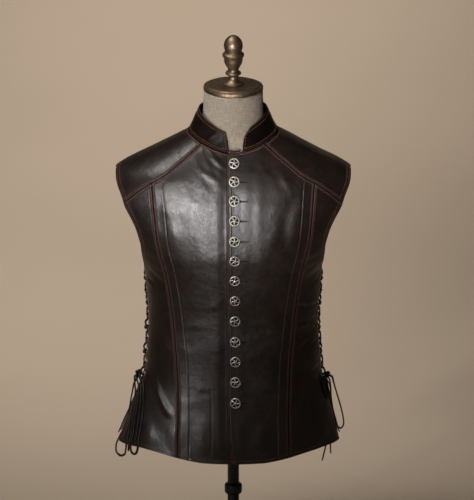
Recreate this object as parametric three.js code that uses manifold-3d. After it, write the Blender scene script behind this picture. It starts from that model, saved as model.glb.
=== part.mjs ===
// A side-laced leather vest on a counter-top dress form. Millimetres, +Z up, the front faces -Y.
// The wearer's left is +X. Heights in the tables are above the centre of the front hem, and
// "out" is the distance from the middle towards one side, so that both sides share one table.
import * as THREE from 'three';
import { mergeVertices } from 'three/addons/utils/BufferGeometryUtils.js';
import Module from 'manifold-3d';

const wasm = await Module();
wasm.setup();

const HEM = 240;          // centre of the front hem above the floor
const LEATHER = 2;        // one layer of leather
const SEAM = 0.3;         // gap between two pieces that are sewn together
const ROUND = 2.3;        // power of the vest's superellipse sections
const LEFT = 1;
const RIGHT = -1;
const FRONT = -1;
const BACK = 1;

// The vest's outer face: half width, how much the right side flares past it, front and back depth.
const sections = [
  { z: -10, half: 222, flare: 20, front: 136, back: 131 },
  { z: 0, half: 219.5, flare: 19, front: 135, back: 130 },
  { z: 35, half: 211, flare: 15, front: 131.5, back: 125 },
  { z: 71, half: 201.5, flare: 9, front: 127, back: 119 },
  { z: 108, half: 191, flare: 4, front: 121, back: 112 },
  { z: 153, half: 178.5, flare: 1, front: 115, back: 105 },
  { z: 190, half: 175.5, flare: 0, front: 111.5, back: 99 },
  { z: 225, half: 172.5, flare: 0, front: 110, back: 95.5 },
  { z: 262, half: 170.5, flare: 0, front: 109, back: 95 },
  { z: 300, half: 171.5, flare: 0, front: 110, back: 98 },
  { z: 340, half: 174.5, flare: 0, front: 114, back: 104 },
  { z: 376, half: 177.5, flare: 0, front: 119, back: 111 },
  { z: 400, half: 188.5, flare: 0, front: 122, back: 115 },
  { z: 430, half: 202, flare: 0, front: 125, back: 119 },
  { z: 465, half: 222, flare: 0, front: 125, back: 122 },
  { z: 499, half: 241, flare: 0, front: 121.5, back: 123 },
  { z: 531, half: 251.5, flare: 0, front: 117, back: 121 },
  { z: 560, half: 250, flare: 0, front: 110, back: 115 },
  { z: 583, half: 235, flare: 0, front: 103, back: 107 },
  { z: 609, half: 186, flare: 0, front: 92, back: 98 },
  { z: 635, half: 137, flare: 0, front: 78, back: 86 },
  { z: 650, half: 108.7, flare: 0, front: 70, back: 77 },
  { z: 661, half: 88, flare: 0, front: 63, back: 69 },
  { z: 672, half: 72, flare: 0, front: 58, back: 64 },
];
// The shoulder ridge runs straight from the neck to the shoulder tip.
const NECK_POINT = { out: 88, z: 661 };
const SHOULDER_TIP = { out: 235, z: 583 };
// The armhole edge, as its distance in front of and behind the shoulder ridge's plane.
const armhole = [
  { z: 376, front: 12, back: 12 },
  { z: 384, front: 28, back: 27 },
  { z: 400, front: 45, back: 44 },
  { z: 430, front: 62, back: 60 },
  { z: 448, front: 70, back: 68 },
  { z: 482, front: 75.5, back: 74 },
  { z: 531, front: 66, back: 68 },
  { z: 560, front: 50, back: 53 },
  { z: 572, front: 37, back: 39 },
  { z: 579, front: 23, back: 24 },
  { z: 583, front: 0, back: 0 },
];
const UNDERARM = armhole[0].z;
// The laced edges below the armhole, and the open vent that spreads from the last eyelet to the hem.
const laceEdge = [
  { z: 0, front: 28, back: 21 },
  { z: 60, front: 21, back: 17 },
  { z: 110, front: 14, back: 13 },
  { z: 150, front: 12, back: 12 },
  { z: UNDERARM, front: 12, back: 12 },
];
const neckline = [
  { turn: 0, z: 634.5 },
  { turn: 10.3, z: 640 },
  { turn: 33.6, z: 651.5 },
  { turn: 61, z: 659 },
  { turn: 90, z: NECK_POINT.z },
  { turn: 120, z: 660.5 },
  { turn: 150, z: 658 },
  { turn: 180, z: 655 },
];
const YOKE_TURN = 33.6;   // where the yoke's seams start on the neckline, from the front and the back
const yokeFront = [
  { out: 63, z: 651.7 },
  { out: 78.6, z: 637.6 },
  { out: 111.6, z: 611 },
  { out: 135.8, z: 592 },
  { out: 162.5, z: 576.5 },
  { out: 194.6, z: 553 },
  { out: 209.8, z: 538.4 },
  { out: 224, z: 525 },
];
const yokeBack = [
  { out: 55, z: 658.8 },
  { out: 80, z: 642 },
  { out: 111, z: 621 },
  { out: 140, z: 603 },
  { out: 170, z: 583 },
  { out: 200, z: 561 },
  { out: 230, z: 538 },
];
const princessFront = [
  { z: 0, out: 112 },
  { z: 108, out: 110.4 },
  { z: 195, out: 113.5 },
  { z: 264, out: 119.5 },
  { z: 318, out: 125.4 },
  { z: 392, out: 137 },
  { z: 415, out: 143 },
  { z: 462, out: 152.5 },
  { z: 577, out: 162.5 },
];
const princessBack = [
  { z: 0, out: 104 },
  { z: 120, out: 98 },
  { z: 262, out: 94 },
  { z: 340, out: 104 },
  { z: 430, out: 124 },
  { z: 520, out: 142 },
  { z: 597, out: 150 },
];
const hemFront = [
  { out: 0, z: 0 },
  { out: 60, z: 1.5 },
  { out: 80, z: 4 },
  { out: 115, z: 10 },
  { out: 140, z: 15 },
  { out: 164, z: 18.5 },
  { out: 186, z: 20.5 },
  { out: 205, z: 19 },
  { out: 240, z: 14 },
];
const hemBack = [
  { out: 0, z: 8 },
  { out: 80, z: 9 },
  { out: 140, z: 13 },
  { out: 190, z: 17 },
  { out: 240, z: 14 },
];
// The wearer's left front lies over the right one. Its edge, and how far the right one runs under it.
const frontEdge = [
  { z: 0, out: 0 },
  { z: 20, out: -2 },
  { z: 60, out: -5 },
  { z: 130, out: -7.5 },
  { z: 660, out: -8 },
];
const UNDERLAP = 17;
const STEP_DOWN = { width: 9, clear: 0.15 };   // where the right front steps down under the left one
const TAB = { lift: 6, from: 12, to: 16.5 };   // the left front stands above the neckline past the collar

const COLLAR = { wall: 3, half: 67.5, front: 65.5, back: 66, gap: 0.6 };
const COLLAR_END = { right: { low: 6.6, high: 13.6 }, left: { low: 13.2, high: 23 } };   // degrees
const collarTop = [
  { turn: 0, z: 671 },
  { turn: 13, z: 675.5 },
  { turn: 21, z: 679 },
  { turn: 37, z: 688 },
  { turn: 52, z: 695 },
  { turn: 80, z: 705 },
  { turn: 90, z: 708.5 },
  { turn: 110, z: 709.5 },
  { turn: 180, z: 709 },
];

const BUTTON = { radius: 11, edge: 2.3, crown: 4, lift: 0.7 };
const buttonHeights = [618, 585, 548, 509, 467.5, 426.5, 383.5, 339.5, 295, 251, 209.5, 167, 125];
const buttonLine = [{ z: 128, x: 4.4 }, { z: 622, x: 1.6 }];

const EYELET = { count: 9, top: 360, pitch: 25.75, inset: 10, hole: 3.2 };
const LACE = 3.9;         // diameter of the leather lace
const LACE_CLEAR = 0.45;

// The loose laces' routes, down from the knots. "out" is free in the air and "lift" is off the leather.
const looseLaces = [
  { name: 'loop_right_1', side: RIGHT, from: { tilt: 20, swing: -40 }, to: { tilt: 50, swing: 10 }, route: [
    { out: 199, y: -4, z: 128 }, { out: 203, y: -5, z: 108 }, { out: 207, y: -6, z: 86 },
    { out: 211, y: -8, z: 62 }, { out: 219, y: -10, z: 38 }, { out: 229, y: -13, z: 17 },
    { out: 235.5, y: -17, z: 1 }, { out: 235, y: -23, z: -11 }, { out: 227, y: -33, z: -16 },
    { out: 218.5, y: -46, z: -9 }, { out: 216, y: -59.5, z: 4 }, { y: -61.5, z: 26, lift: 3 },
    { y: -55.5, z: 43, lift: 2.5 }, { y: -45, z: 65, lift: 2.5 }, { y: -31, z: 86, lift: 2.5 },
    { y: -14, z: 110, lift: 3.2 },
  ] },
  { name: 'tail_right_1', side: RIGHT, from: { tilt: 38, swing: 55 }, route: [
    { y: -21, z: 124, lift: 3.5 }, { y: -28, z: 110, lift: 2.7 }, { y: -41.5, z: 89, lift: 2.5 },
    { y: -52.5, z: 67, lift: 2.5 }, { y: -61.5, z: 45, lift: 2.5 }, { y: -67.5, z: 26, lift: 2.6 },
    { out: 210.5, y: -69.5, z: 6.5 },
  ] },
  { name: 'loop_right_2', side: RIGHT, from: { tilt: 75, swing: 55 }, to: { tilt: 70, swing: 92 }, route: [
    { y: -27, z: 128, lift: 6 }, { y: -36, z: 112, lift: 3 }, { y: -48, z: 91, lift: 2.5 },
    { y: -58, z: 69, lift: 2.5 }, { y: -66.5, z: 47, lift: 2.5 }, { y: -71.5, z: 27.5, lift: 2.6 },
    { out: 206, y: -75, z: 13 }, { out: 202.5, y: -78.5, z: 5 }, { out: 196.5, y: -82.5, z: 4.5 },
    { out: 192.5, y: -86, z: 13 }, { y: -84.5, z: 27, lift: 2.6 }, { y: -80.5, z: 41, lift: 2.5 },
    { y: -75.5, z: 64.5, lift: 2.5 }, { y: -65, z: 92.5, lift: 2.5 }, { y: -51, z: 119.5, lift: 2.5 },
    { y: -35, z: 136, lift: 2.7 },
  ] },
  { name: 'tail_right_2', side: RIGHT, from: { tilt: 45, swing: 115 }, route: [
    { y: -22, z: 133, lift: 2.6 }, { y: -44, z: 115, lift: 2.5 }, { y: -56, z: 94, lift: 2.5 },
    { y: -65.5, z: 72, lift: 2.5 }, { y: -72, z: 52.5, lift: 2.5 }, { y: -77, z: 30, lift: 2.5 },
  ] },
  { name: 'loop_left_1', side: LEFT, from: { tilt: 70, swing: 10 }, to: { tilt: 30, swing: 20 }, route: [
    { out: 201.5, y: -7, z: 130 }, { out: 209, y: -7, z: 103 }, { out: 216, y: -7, z: 78 },
    { out: 221, y: -7.5, z: 54 }, { out: 221.5, y: -8, z: 42 }, { out: 216.5, y: -7, z: 33 },
    { out: 209.5, y: -5, z: 36 }, { out: 204.5, y: -4, z: 54 }, { out: 199.5, y: -3.5, z: 76 },
    { out: 196.5, y: -3, z: 98 }, { out: 195.5, y: -3.5, z: 119 },
  ] },
  { name: 'tail_left_1', side: LEFT, from: { tilt: 25, swing: -100 }, route: [
    { out: 194, y: 3.5, z: 120 }, { out: 196, y: 4, z: 100 }, { out: 196.5, y: 4, z: 75 },
    { out: 196, y: 3.5, z: 40 }, { out: 195, y: 3, z: 8 }, { out: 196, y: 3, z: -24 },
  ] },
  { name: 'loop_left_2', side: LEFT, from: { tilt: 85, swing: 85 }, to: { tilt: 75, swing: 120 }, route: [
    { y: -28, z: 137, lift: 3.2 }, { y: -33.5, z: 124, lift: 2.6 }, { y: -33, z: 112, lift: 2.6 },
    { y: -27, z: 105.5, lift: 2.7 }, { y: -21.5, z: 111, lift: 2.7 }, { y: -20.5, z: 123, lift: 2.7 },
    { y: -20, z: 134, lift: 2.8 },
  ] },
  { name: 'tail_left_2', side: LEFT, from: { tilt: 40, swing: 100 }, route: [
    { out: 187.5, y: -13, z: 132 }, { out: 192.5, y: -14, z: 112 }, { out: 194.5, y: -11, z: 98 },
    { out: 194, y: -8.5, z: 80 }, { out: 192.5, y: -8, z: 60 }, { out: 191.5, y: -8, z: 40 },
    { out: 189.5, y: -8, z: 20 }, { out: 185.5, y: -8.5, z: -5 }, { out: 178.5, y: -9, z: -36 },
  ] },
];

// The dress form under the vest, up to the top of its neck.
const formSections = [
  { z: 35, half: 188, front: 118, back: 112, round: 2.3 },
  { z: 108, half: 176, front: 109, back: 101, round: 2.3 },
  { z: 153, half: 166, front: 105, back: 95, round: 2.3 },
  { z: 200, half: 163, front: 102, back: 89, round: 2.3 },
  { z: 262, half: 159, front: 100, back: 86, round: 2.3 },
  { z: 320, half: 162, front: 103, back: 92, round: 2.3 },
  { z: 376, half: 167, front: 109, back: 101, round: 2.3 },
  { z: 430, half: 178, front: 114, back: 110, round: 2.3 },
  { z: 482, half: 193, front: 114, back: 115, round: 2.3 },
  { z: 520, half: 202, front: 109, back: 114.5, round: 2.3 },
  { z: 550, half: 205, front: 103, back: 109, round: 2.3 },
  { z: 575, half: 202.5, front: 96, back: 103, round: 2.3 },
  { z: 592, half: 194.3, front: 91, back: 98, round: 2.3 },
  { z: 609, half: 179.6, front: 84, back: 91.5, round: 2.3 },
  { z: 622, half: 153.4, front: 77.2, back: 85.2, round: 2.3 },
  { z: 635, half: 131, front: 70, back: 79, round: 2.3 },
  { z: 648, half: 106.5, front: 64.5, back: 71.5, round: 2.3 },
  { z: 661, half: 82, front: 61, back: 64.5, round: 2.2 },
  { z: 670, half: 71, front: 60, back: 62.5, round: 2.1 },
  { z: 682, half: 64, front: 59.4, back: 60.3, round: 2 },
  { z: 702, half: 60, front: 59, back: 59, round: 2 },
  { z: 745, half: 59, front: 59, back: 59, round: 2 },
];
const FORM_RINGS = [35, 70, 108, 153, 200, 245, 290, 335, 380, 425, 465, 500, 530, 555, 575, 592, 609,
  622, 635, 648, 661, 670, 682, 702, 745];
const FORM_SIDES = 28;

const NECK_TOP = 745;
const CAP = { gap: 0.3, radius: 59.5, height: 11 };
// The finial from its foot up: radius at each height above the cap.
const finialProfile = [
  { r: 20, z: 0 }, { r: 21, z: 2.5 }, { r: 12, z: 8 }, { r: 10, z: 17 }, { r: 15.5, z: 21 },
  { r: 15.5, z: 25 }, { r: 10.5, z: 29 }, { r: 12, z: 34 }, { r: 17.5, z: 44 }, { r: 19, z: 55 },
  { r: 21.5, z: 59 }, { r: 21.5, z: 63 }, { r: 16, z: 66.5 }, { r: 18.5, z: 75 }, { r: 18.5, z: 84 },
  { r: 14, z: 94 }, { r: 7, z: 100 },
];
const FINIAL_TOP = 102;
const POLE_RADIUS = 11.5;
const POLE_COLLAR = { radius: 17.5, neck: 13, height: 22, top: -86 };
const BASE = { radius: 160, rim: 10, shoulder: 14, boss: 24, height: 34 };

// ---- curves through the tables

// A smooth curve through the table's points that never overshoots them.
function curve(table, from, to) {
  const xs = table.map((row) => row[from]);
  const ys = table.map((row) => row[to]);
  const last = xs.length - 1;
  const slopes = xs.slice(1).map((x, i) => (ys[i + 1] - ys[i]) / (x - xs[i]));
  const tangents = xs.map((x, i) => {
    if (i === 0) return slopes[0];
    if (i === last) return slopes[last - 1];
    const before = slopes[i - 1];
    const after = slopes[i];
    return before * after <= 0 ? 0 : (2 * before * after) / (before + after);
  });
  return (x) => {
    if (x <= xs[0]) return ys[0] + (x - xs[0]) * tangents[0];
    if (x >= xs[last]) return ys[last] + (x - xs[last]) * tangents[last];
    const i = xs.findIndex((end, k) => k > 0 && x <= end) - 1;
    const span = xs[i + 1] - xs[i];
    const t = (x - xs[i]) / span;
    const rise = (1 - t) ** 2 * (1 + 2 * t) * ys[i] + t * t * (3 - 2 * t) * ys[i + 1];
    return rise + span * t * (1 - t) * ((1 - t) * tangents[i] - t * tangents[i + 1]);
  };
}
const { lerp, smoothstep, degToRad, radToDeg } = THREE.MathUtils;

// The value between low and high where rising(value) crosses zero.
function solve(rising, low, high) {
  for (let i = 0; i < 40; i += 1) {
    const middle = (low + high) / 2;
    if (rising(middle) < 0) low = middle;
    else high = middle;
  }
  return (low + high) / 2;
}

const half = curve(sections, 'z', 'half');
const flare = curve(sections, 'z', 'flare');
const depths = { [FRONT]: curve(sections, 'z', 'front'), [BACK]: curve(sections, 'z', 'back') };
const armholeReach = { [FRONT]: curve(armhole, 'z', 'front'), [BACK]: curve(armhole, 'z', 'back') };
const laceReach = { [FRONT]: curve(laceEdge, 'z', 'front'), [BACK]: curve(laceEdge, 'z', 'back') };
const yokeSeam = { [FRONT]: curve(yokeFront, 'out', 'z'), [BACK]: curve(yokeBack, 'out', 'z') };
const princess = { [FRONT]: curve(princessFront, 'z', 'out'), [BACK]: curve(princessBack, 'z', 'out') };
const hem = { [FRONT]: curve(hemFront, 'out', 'z'), [BACK]: curve(hemBack, 'out', 'z') };
const neckHeight = curve(neckline, 'turn', 'z');
const frontEdgeOut = curve(frontEdge, 'z', 'out');
const collarHeight = curve(collarTop, 'turn', 'z');
const buttonX = curve(buttonLine, 'z', 'x');
const edgeReach = (facing, z) => Math.max(0, (z > UNDERARM ? armholeReach : laceReach)[facing](z));

// ---- the vest's outer face

const width = (side, z) => half(z) + (side === RIGHT ? flare(z) : 0);

// How far a point lies outside the outer face: below 0 inside it and 0 on it.
function level(x, y, z) {
  const across = Math.abs(x) / width(Math.sign(x), z);
  const along = Math.abs(y) / depths[y < 0 ? FRONT : BACK](z);
  return across ** ROUND + along ** ROUND - 1;
}
function spot(x, y, z, lift = 0) {
  const d = 0.01;
  const normal = new THREE.Vector3(
    level(x + d, y, z) - level(x - d, y, z),
    level(x, y + d, z) - level(x, y - d, z),
    level(x, y, z + d) - level(x, y, z - d),
  ).normalize();
  return { point: new THREE.Vector3(x, y, z + HEM).addScaledVector(normal, lift), normal };
}
// A spot by its distance from the middle, on the front or the back.
function spotAt(side, out, z, facing, lift) {
  const y = depths[facing](z) * (1 - (Math.abs(out) / width(side, z)) ** ROUND) ** (1 / ROUND);
  return spot(side * out, facing * y, z, lift);
}
// A spot by its turn: 0 at the front middle, 90 degrees at the side and 180 at the back middle.
function spotTurned(side, turn, z, lift) {
  const angle = degToRad(turn);
  const out = width(side, z) * Math.sin(angle) ** (2 / ROUND);
  const facing = turn < 90 ? FRONT : BACK;
  return spot(side * out, facing * depths[facing](z) * Math.abs(Math.cos(angle)) ** (2 / ROUND), z, lift);
}
// A spot near the side by its distance from the ridge's plane.
function spotBeside(side, y, z, lift) {
  const facing = y < 0 ? FRONT : BACK;
  const out = width(side, z) * (1 - (Math.abs(y) / depths[facing](z)) ** ROUND) ** (1 / ROUND);
  return spot(side * out, y, z, lift);
}
function turnOfOut(side, out, z, facing) {
  const turn = radToDeg(Math.asin(Math.min(1, out / width(side, z)) ** (ROUND / 2)));
  return facing === FRONT ? turn : 180 - turn;
}
function turnOfReach(reach, z, facing) {
  const turn = radToDeg(Math.acos((reach / depths[facing](z)) ** (ROUND / 2)));
  return facing === FRONT ? turn : 180 - turn;
}

// ---- closed meshes

function closedMesh(points, faces) {
  const volume = faces.reduce((sum, [a, b, c]) => (
    sum + points[a].dot(new THREE.Vector3().crossVectors(points[b], points[c]))), 0);
  const index = volume > 0 ? faces.flat() : faces.map(([a, b, c]) => [a, c, b]).flat();
  const geometry = new THREE.BufferGeometry().setFromPoints(points);
  geometry.setIndex(index);
  return geometry;
}
// A wall whose outer face is the grid of spots, and whose other face lies a thickness inside it.
function wall(grid, thickness) {
  const rows = grid.length;
  const columns = grid[0].length;
  const spots = grid.flat();
  const points = spots.map((s) => s.point).concat(
    spots.map((s) => s.point.clone().addScaledVector(s.normal, -thickness)));
  const at = (row, column, inner = 0) => inner * rows * columns + row * columns + column;
  const faces = [];
  const quad = (a, b, c, d) => faces.push([a, b, c], [a, c, d]);
  for (let r = 0; r + 1 < rows; r += 1) {
    for (let c = 0; c + 1 < columns; c += 1) {
      quad(at(r, c), at(r, c + 1), at(r + 1, c + 1), at(r + 1, c));
      quad(at(r, c, 1), at(r + 1, c, 1), at(r + 1, c + 1, 1), at(r, c + 1, 1));
    }
    quad(at(r, 0), at(r + 1, 0), at(r + 1, 0, 1), at(r, 0, 1));
    quad(at(r, columns - 1), at(r, columns - 1, 1), at(r + 1, columns - 1, 1), at(r + 1, columns - 1));
  }
  for (let c = 0; c + 1 < columns; c += 1) {
    quad(at(0, c), at(0, c, 1), at(0, c + 1, 1), at(0, c + 1));
    quad(at(rows - 1, c), at(rows - 1, c + 1), at(rows - 1, c + 1, 1), at(rows - 1, c, 1));
  }
  return closedMesh(points, faces);
}
// A closed skin over rings of points, with flat ends.
function skin(rings) {
  const sides = rings[0].length;
  const faces = [];
  rings.slice(1).forEach((ring, r) => {
    for (let s = 0; s < sides; s += 1) {
      const next = (s + 1) % sides;
      const low = r * sides;
      faces.push([low + s, low + next, low + sides + next], [low + s, low + sides + next, low + sides + s]);
    }
  });
  const top = (rings.length - 1) * sides;
  for (let s = 1; s + 1 < sides; s += 1) faces.push([0, s + 1, s], [top, top + s, top + s + 1]);
  return closedMesh(rings.flat(), faces);
}
function toSolid(geometry) {
  const bare = geometry.clone();
  bare.deleteAttribute('normal');
  bare.deleteAttribute('uv');
  const merged = mergeVertices(bare, 1e-4);
  return new wasm.Manifold(new wasm.Mesh({
    numProp: 3,
    vertProperties: merged.attributes.position.array,
    triVerts: new Uint32Array(merged.index.array),
  }));
}
function toGeometry(solid) {
  const mesh = solid.getMesh();
  const geometry = new THREE.BufferGeometry();
  geometry.setAttribute('position', new THREE.BufferAttribute(mesh.vertProperties, 3));
  geometry.setIndex(new THREE.BufferAttribute(mesh.triVerts, 1));
  return geometry;
}

// ---- the object

const vest = new THREE.Group();
const finishes = {
  leather: { color: 0x2a2220, roughness: 0.4, metalness: 0 },
  lace: { color: 0x1c1816, roughness: 0.6, metalness: 0 },
  linen: { color: 0xa89a85, roughness: 0.95, metalness: 0 },
  bronze: { color: 0x5a4a36, roughness: 0.4, metalness: 0.9 },
  silver: { color: 0x9a948a, roughness: 0.35, metalness: 0.95 },
  iron: { color: 0x121212, roughness: 0.5, metalness: 0.6 },
};
function add(name, geometry, finish) {
  const mesh = new THREE.Mesh(geometry, new THREE.MeshStandardMaterial(finishes[finish]));
  mesh.name = name;
  vest.add(mesh);
  return mesh;
}
const sideName = { [LEFT]: 'left', [RIGHT]: 'right' };

// ---- vest panels

const ROWS = 18;          // from the hem to the top of each body panel
const SLANT_GAP = 0.22;   // each piece's share of the gap across a slanted yoke seam, measured upright

// The height where the yoke seam meets the armhole edge.
const yokeEnd = {};
for (const facing of [FRONT, BACK]) {
  yokeEnd[facing] = solve((z) => {
    const edge = spotBeside(LEFT, facing * armholeReach[facing](z), z).point.x;
    return z - yokeSeam[facing](edge);
  }, 500, 575);
}
const yokeEndOut = (facing) => (
  spotBeside(LEFT, facing * armholeReach[facing](yokeEnd[facing]), yokeEnd[facing]).point.x);
const yokeStart = (facing) => {
  const turn = facing === FRONT ? YOKE_TURN : 180 - YOKE_TURN;
  return Math.abs(spotTurned(LEFT, turn, neckHeight(turn)).point.x);
};
// Where the panels' columns and the yoke's meet the yoke seam.
const seamOuts = {
  [FRONT]: [yokeStart(FRONT), 96, 130, 162.5, 186, 202, 213, yokeEndOut(FRONT)],
  [BACK]: [yokeStart(BACK), 87, 119, 150, 179, 199, 214, yokeEndOut(BACK)],
};
const PRINCESS_COLUMN = 3;

const neckHeightAt = (side, out, facing) => (
  solve((z) => z - neckHeight(turnOfOut(side, Math.abs(out), z, facing)), 620, 664));

// A panel beside the middle, from one upright line to another. tops lists where its columns end.
// A column leans, so the height of its foot on the hem is found by stepping towards it a few times.
function centrePanel(side, facing, tops, from, to, sink) {
  const columns = tops.map(({ out, z }) => ({
    share: (out - from(z)) / (to(z) - from(z)),
    top: z,
  }));
  const outAt = (column, z) => lerp(from(z), to(z), column.share);
  const grid = [];
  for (let r = 0; r <= ROWS; r += 1) {
    grid.push(columns.map((column) => {
      let bottom = 0;
      for (let i = 0; i < 8; i += 1) bottom = hem[facing](Math.abs(outAt(column, bottom)));
      const z = lerp(bottom, column.top, r / ROWS);
      const out = outAt(column, z);
      return spotAt(side, out, z, facing, -sink(out, z));
    }));
  }
  return grid;
}
// A panel from a princess seam round to the armhole and the laced edge.
function sidePanel(side, facing) {
  const seam = (z) => turnOfOut(side, princess[facing](z) + SEAM / 2, z, facing);
  const edge = (z) => turnOfReach(edgeReach(facing, z), z, facing);
  const columns = seamOuts[facing].slice(PRINCESS_COLUMN).map((out, i, all) => {
    const top = i === all.length - 1 ? yokeEnd[facing] : yokeSeam[facing](out);
    const turn = turnOfOut(side, out, top, facing);
    const share = (turn - seam(top)) / (edge(top) - seam(top));
    return { top: top - SLANT_GAP, share: i === 0 ? 0 : Math.min(share, 1) };
  });
  columns[columns.length - 1].share = 1;
  const grid = [];
  for (let r = 0; r <= ROWS; r += 1) {
    grid.push(columns.map((column) => {
      const turnAt = (z) => lerp(seam(z), edge(z), column.share);
      let bottom = 0;
      for (let i = 0; i < 8; i += 1) {
        const { point } = spotTurned(side, turnAt(bottom), bottom);
        bottom = hem[facing](Math.abs(point.x));
      }
      const z = lerp(bottom, column.top, r / ROWS);
      return spotTurned(side, turnAt(z), z);
    }));
  }
  return grid;
}
const panelTops = (side, facing, necks) => necks.map((out) => (
  { out, z: neckHeightAt(side, out, facing) })).concat(
  seamOuts[facing].slice(0, PRINCESS_COLUMN + 1).map((out) => (
    { out, z: yokeSeam[facing](out) - SLANT_GAP })));

// The left front lies on top. Past the collar's end its corner stands a little above the neckline.
const leftNecks = [frontEdgeOut(640), 3, TAB.from, TAB.to, 25, 43];
const leftTops = panelTops(LEFT, FRONT, leftNecks).map(({ out, z }) => (
  { out, z: z + TAB.lift * (1 - smoothstep(out, TAB.from, TAB.to)) }));
const frontSeam = (z) => princess[FRONT](z) - SEAM / 2;
const leftGrid = centrePanel(LEFT, FRONT, leftTops, frontEdgeOut, frontSeam, () => 0);
add('front_centre_left', wall(leftGrid, LEATHER), 'leather');

// The right front steps down by its thickness before it runs under the left one.
const rightTops = panelTops(RIGHT, FRONT, [-UNDERLAP, -6, 5, 11, 25, 43]);
const stepDown = (out, z) => {
  const start = -frontEdgeOut(z) + 3;
  return (LEATHER + SEAM + STEP_DOWN.clear) * (1 - smoothstep(out, start, start + STEP_DOWN.width));
};
const rightGrid = centrePanel(RIGHT, FRONT, rightTops, () => -UNDERLAP, frontSeam, stepDown);
add('front_centre_right', wall(rightGrid, LEATHER), 'leather');

const backHalf = (side) => centrePanel(
  side, BACK, panelTops(side, BACK, [0, 28]), () => 0, (z) => princess[BACK](z) - SEAM / 2, () => 0);
const backRight = backHalf(RIGHT);
const backGrid = backHalf(LEFT).map((row, r) => backRight[r].slice(1).reverse().concat(row));
add('back_centre', wall(backGrid, LEATHER), 'leather');

// ---- side panels with their eyelet holes

const eyeletHeights = Array.from({ length: EYELET.count }, (_, i) => EYELET.top - i * EYELET.pitch);
const eyeletReach = (facing, z) => facing * (laceReach[facing](z) + EYELET.inset);

for (const side of [LEFT, RIGHT]) {
  for (const facing of [FRONT, BACK]) {
    let solid = toSolid(wall(sidePanel(side, facing), LEATHER));
    for (const z of eyeletHeights) {
      const { point, normal } = spotBeside(side, eyeletReach(facing, z), z);
      const drill = new THREE.CylinderGeometry(EYELET.hole, EYELET.hole, 6 * LEATHER, 8);
      drill.applyQuaternion(new THREE.Quaternion().setFromUnitVectors(new THREE.Vector3(0, 1, 0), normal));
      drill.translate(...point.toArray());
      solid = solid.subtract(toSolid(drill));
    }
    add(`${facing === FRONT ? 'front' : 'back'}_side_${sideName[side]}`, toGeometry(solid), 'leather');
  }
}

// ---- yokes, blended between their four edges by turn and height

const YOKE_ROWS = 7;      // from each yoke seam up to the shoulder ridge
function yokeHalf(side, facing) {
  const outs = seamOuts[facing];
  const place = (turn, z) => ({ turn, z });
  const neckStart = facing === FRONT ? YOKE_TURN : 180 - YOKE_TURN;
  const neckEdge = (v) => {
    const turn = lerp(neckStart, 90, v);
    return place(turn, neckHeight(turn));
  };
  const armEdge = (v) => {
    const z = lerp(yokeEnd[facing] + SLANT_GAP, SHOULDER_TIP.z, Math.sin(v * Math.PI / 2));
    return place(turnOfReach(edgeReach(facing, z), z, facing), z);
  };
  const seam = (out, last) => {
    const z = (last ? yokeEnd[facing] : yokeSeam[facing](out)) + SLANT_GAP;
    return last ? armEdge(0) : place(turnOfOut(side, out, z, facing), z);
  };
  const ridge = (w) => place(90, lerp(NECK_POINT.z, SHOULDER_TIP.z, w));
  const grid = [];
  for (let r = 0; r <= YOKE_ROWS; r += 1) {
    const v = r / YOKE_ROWS;
    grid.push(outs.map((out, c) => {
      const w = (out - outs[0]) / (outs[outs.length - 1] - outs[0]);
      const blend = (key) => {
        const edges = lerp(neckEdge(v)[key], armEdge(v)[key], w)
          + lerp(seam(out, c === outs.length - 1)[key], ridge(w)[key], v);
        const low = lerp(seam(outs[0])[key], armEdge(0)[key], w);
        const high = lerp(ridge(0)[key], ridge(1)[key], w);
        return edges - lerp(low, high, v);
      };
      return spotTurned(side, blend('turn'), blend('z'));
    }));
  }
  return grid;
}
for (const side of [LEFT, RIGHT]) {
  const overBack = yokeHalf(side, BACK).reverse().slice(1);
  add(`yoke_${sideName[side]}`, wall(yokeHalf(side, FRONT).concat(overBack), LEATHER), 'leather');
}

// ---- collar, leaning in from the neckline

const COLLAR_COLUMNS = 32;
const COLLAR_ROWS = 3;
// The outer face at an angle from the front middle, going round through the wearer's right.
function collarFoot(angle) {
  const side = angle < 180 ? RIGHT : LEFT;
  const want = angle < 180 ? angle : 360 - angle;
  const turn = solve((t) => {
    const { point } = spotTurned(side, t, neckHeight(t));
    return radToDeg(Math.atan2(Math.abs(point.x), -point.y)) - want;
  }, 0, 180);
  return spotTurned(side, turn, neckHeight(turn)).point.add(new THREE.Vector3(0, 0, COLLAR.gap));
}
function collarRim(angle) {
  const side = angle < 180 ? RIGHT : LEFT;
  const want = angle < 180 ? angle : 360 - angle;
  const depth = want < 90 ? COLLAR.front : COLLAR.back;
  const around = degToRad(want);
  const reach = 1 / Math.hypot(Math.sin(around) / COLLAR.half, Math.cos(around) / depth);
  return new THREE.Vector3(
    side * reach * Math.sin(around), -reach * Math.cos(around), collarHeight(want) + HEM);
}
const collarGrid = [];
for (let r = 0; r <= COLLAR_ROWS; r += 1) {
  const row = [];
  for (let c = 0; c <= COLLAR_COLUMNS; c += 1) {
    const share = c / COLLAR_COLUMNS;
    const at = (s, v) => {
      const foot = collarFoot(lerp(COLLAR_END.right.low, 360 - COLLAR_END.left.low, s));
      const rim = collarRim(lerp(COLLAR_END.right.high, 360 - COLLAR_END.left.high, s));
      return foot.lerp(rim, v);
    };
    const v = r / COLLAR_ROWS;
    const along = at(share + 0.001, v).sub(at(share - 0.001, v));
    const up = at(share, 1).sub(at(share, 0));
    row.push({ point: at(share, v), normal: new THREE.Vector3().crossVectors(up, along).normalize() });
  }
  collarGrid.push(row);
}
const roundedCorner = [0, 0, 2, 6];   // the left end's top corner is rounded off
const cornerDrop = collarGrid[COLLAR_ROWS].slice(-roundedCorner.length);
cornerDrop.forEach((s, i) => s.point.setZ(s.point.z - roundedCorner[i]));
add('collar', wall(collarGrid, COLLAR.wall), 'leather');

// ---- buttons, lying on the left front

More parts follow.
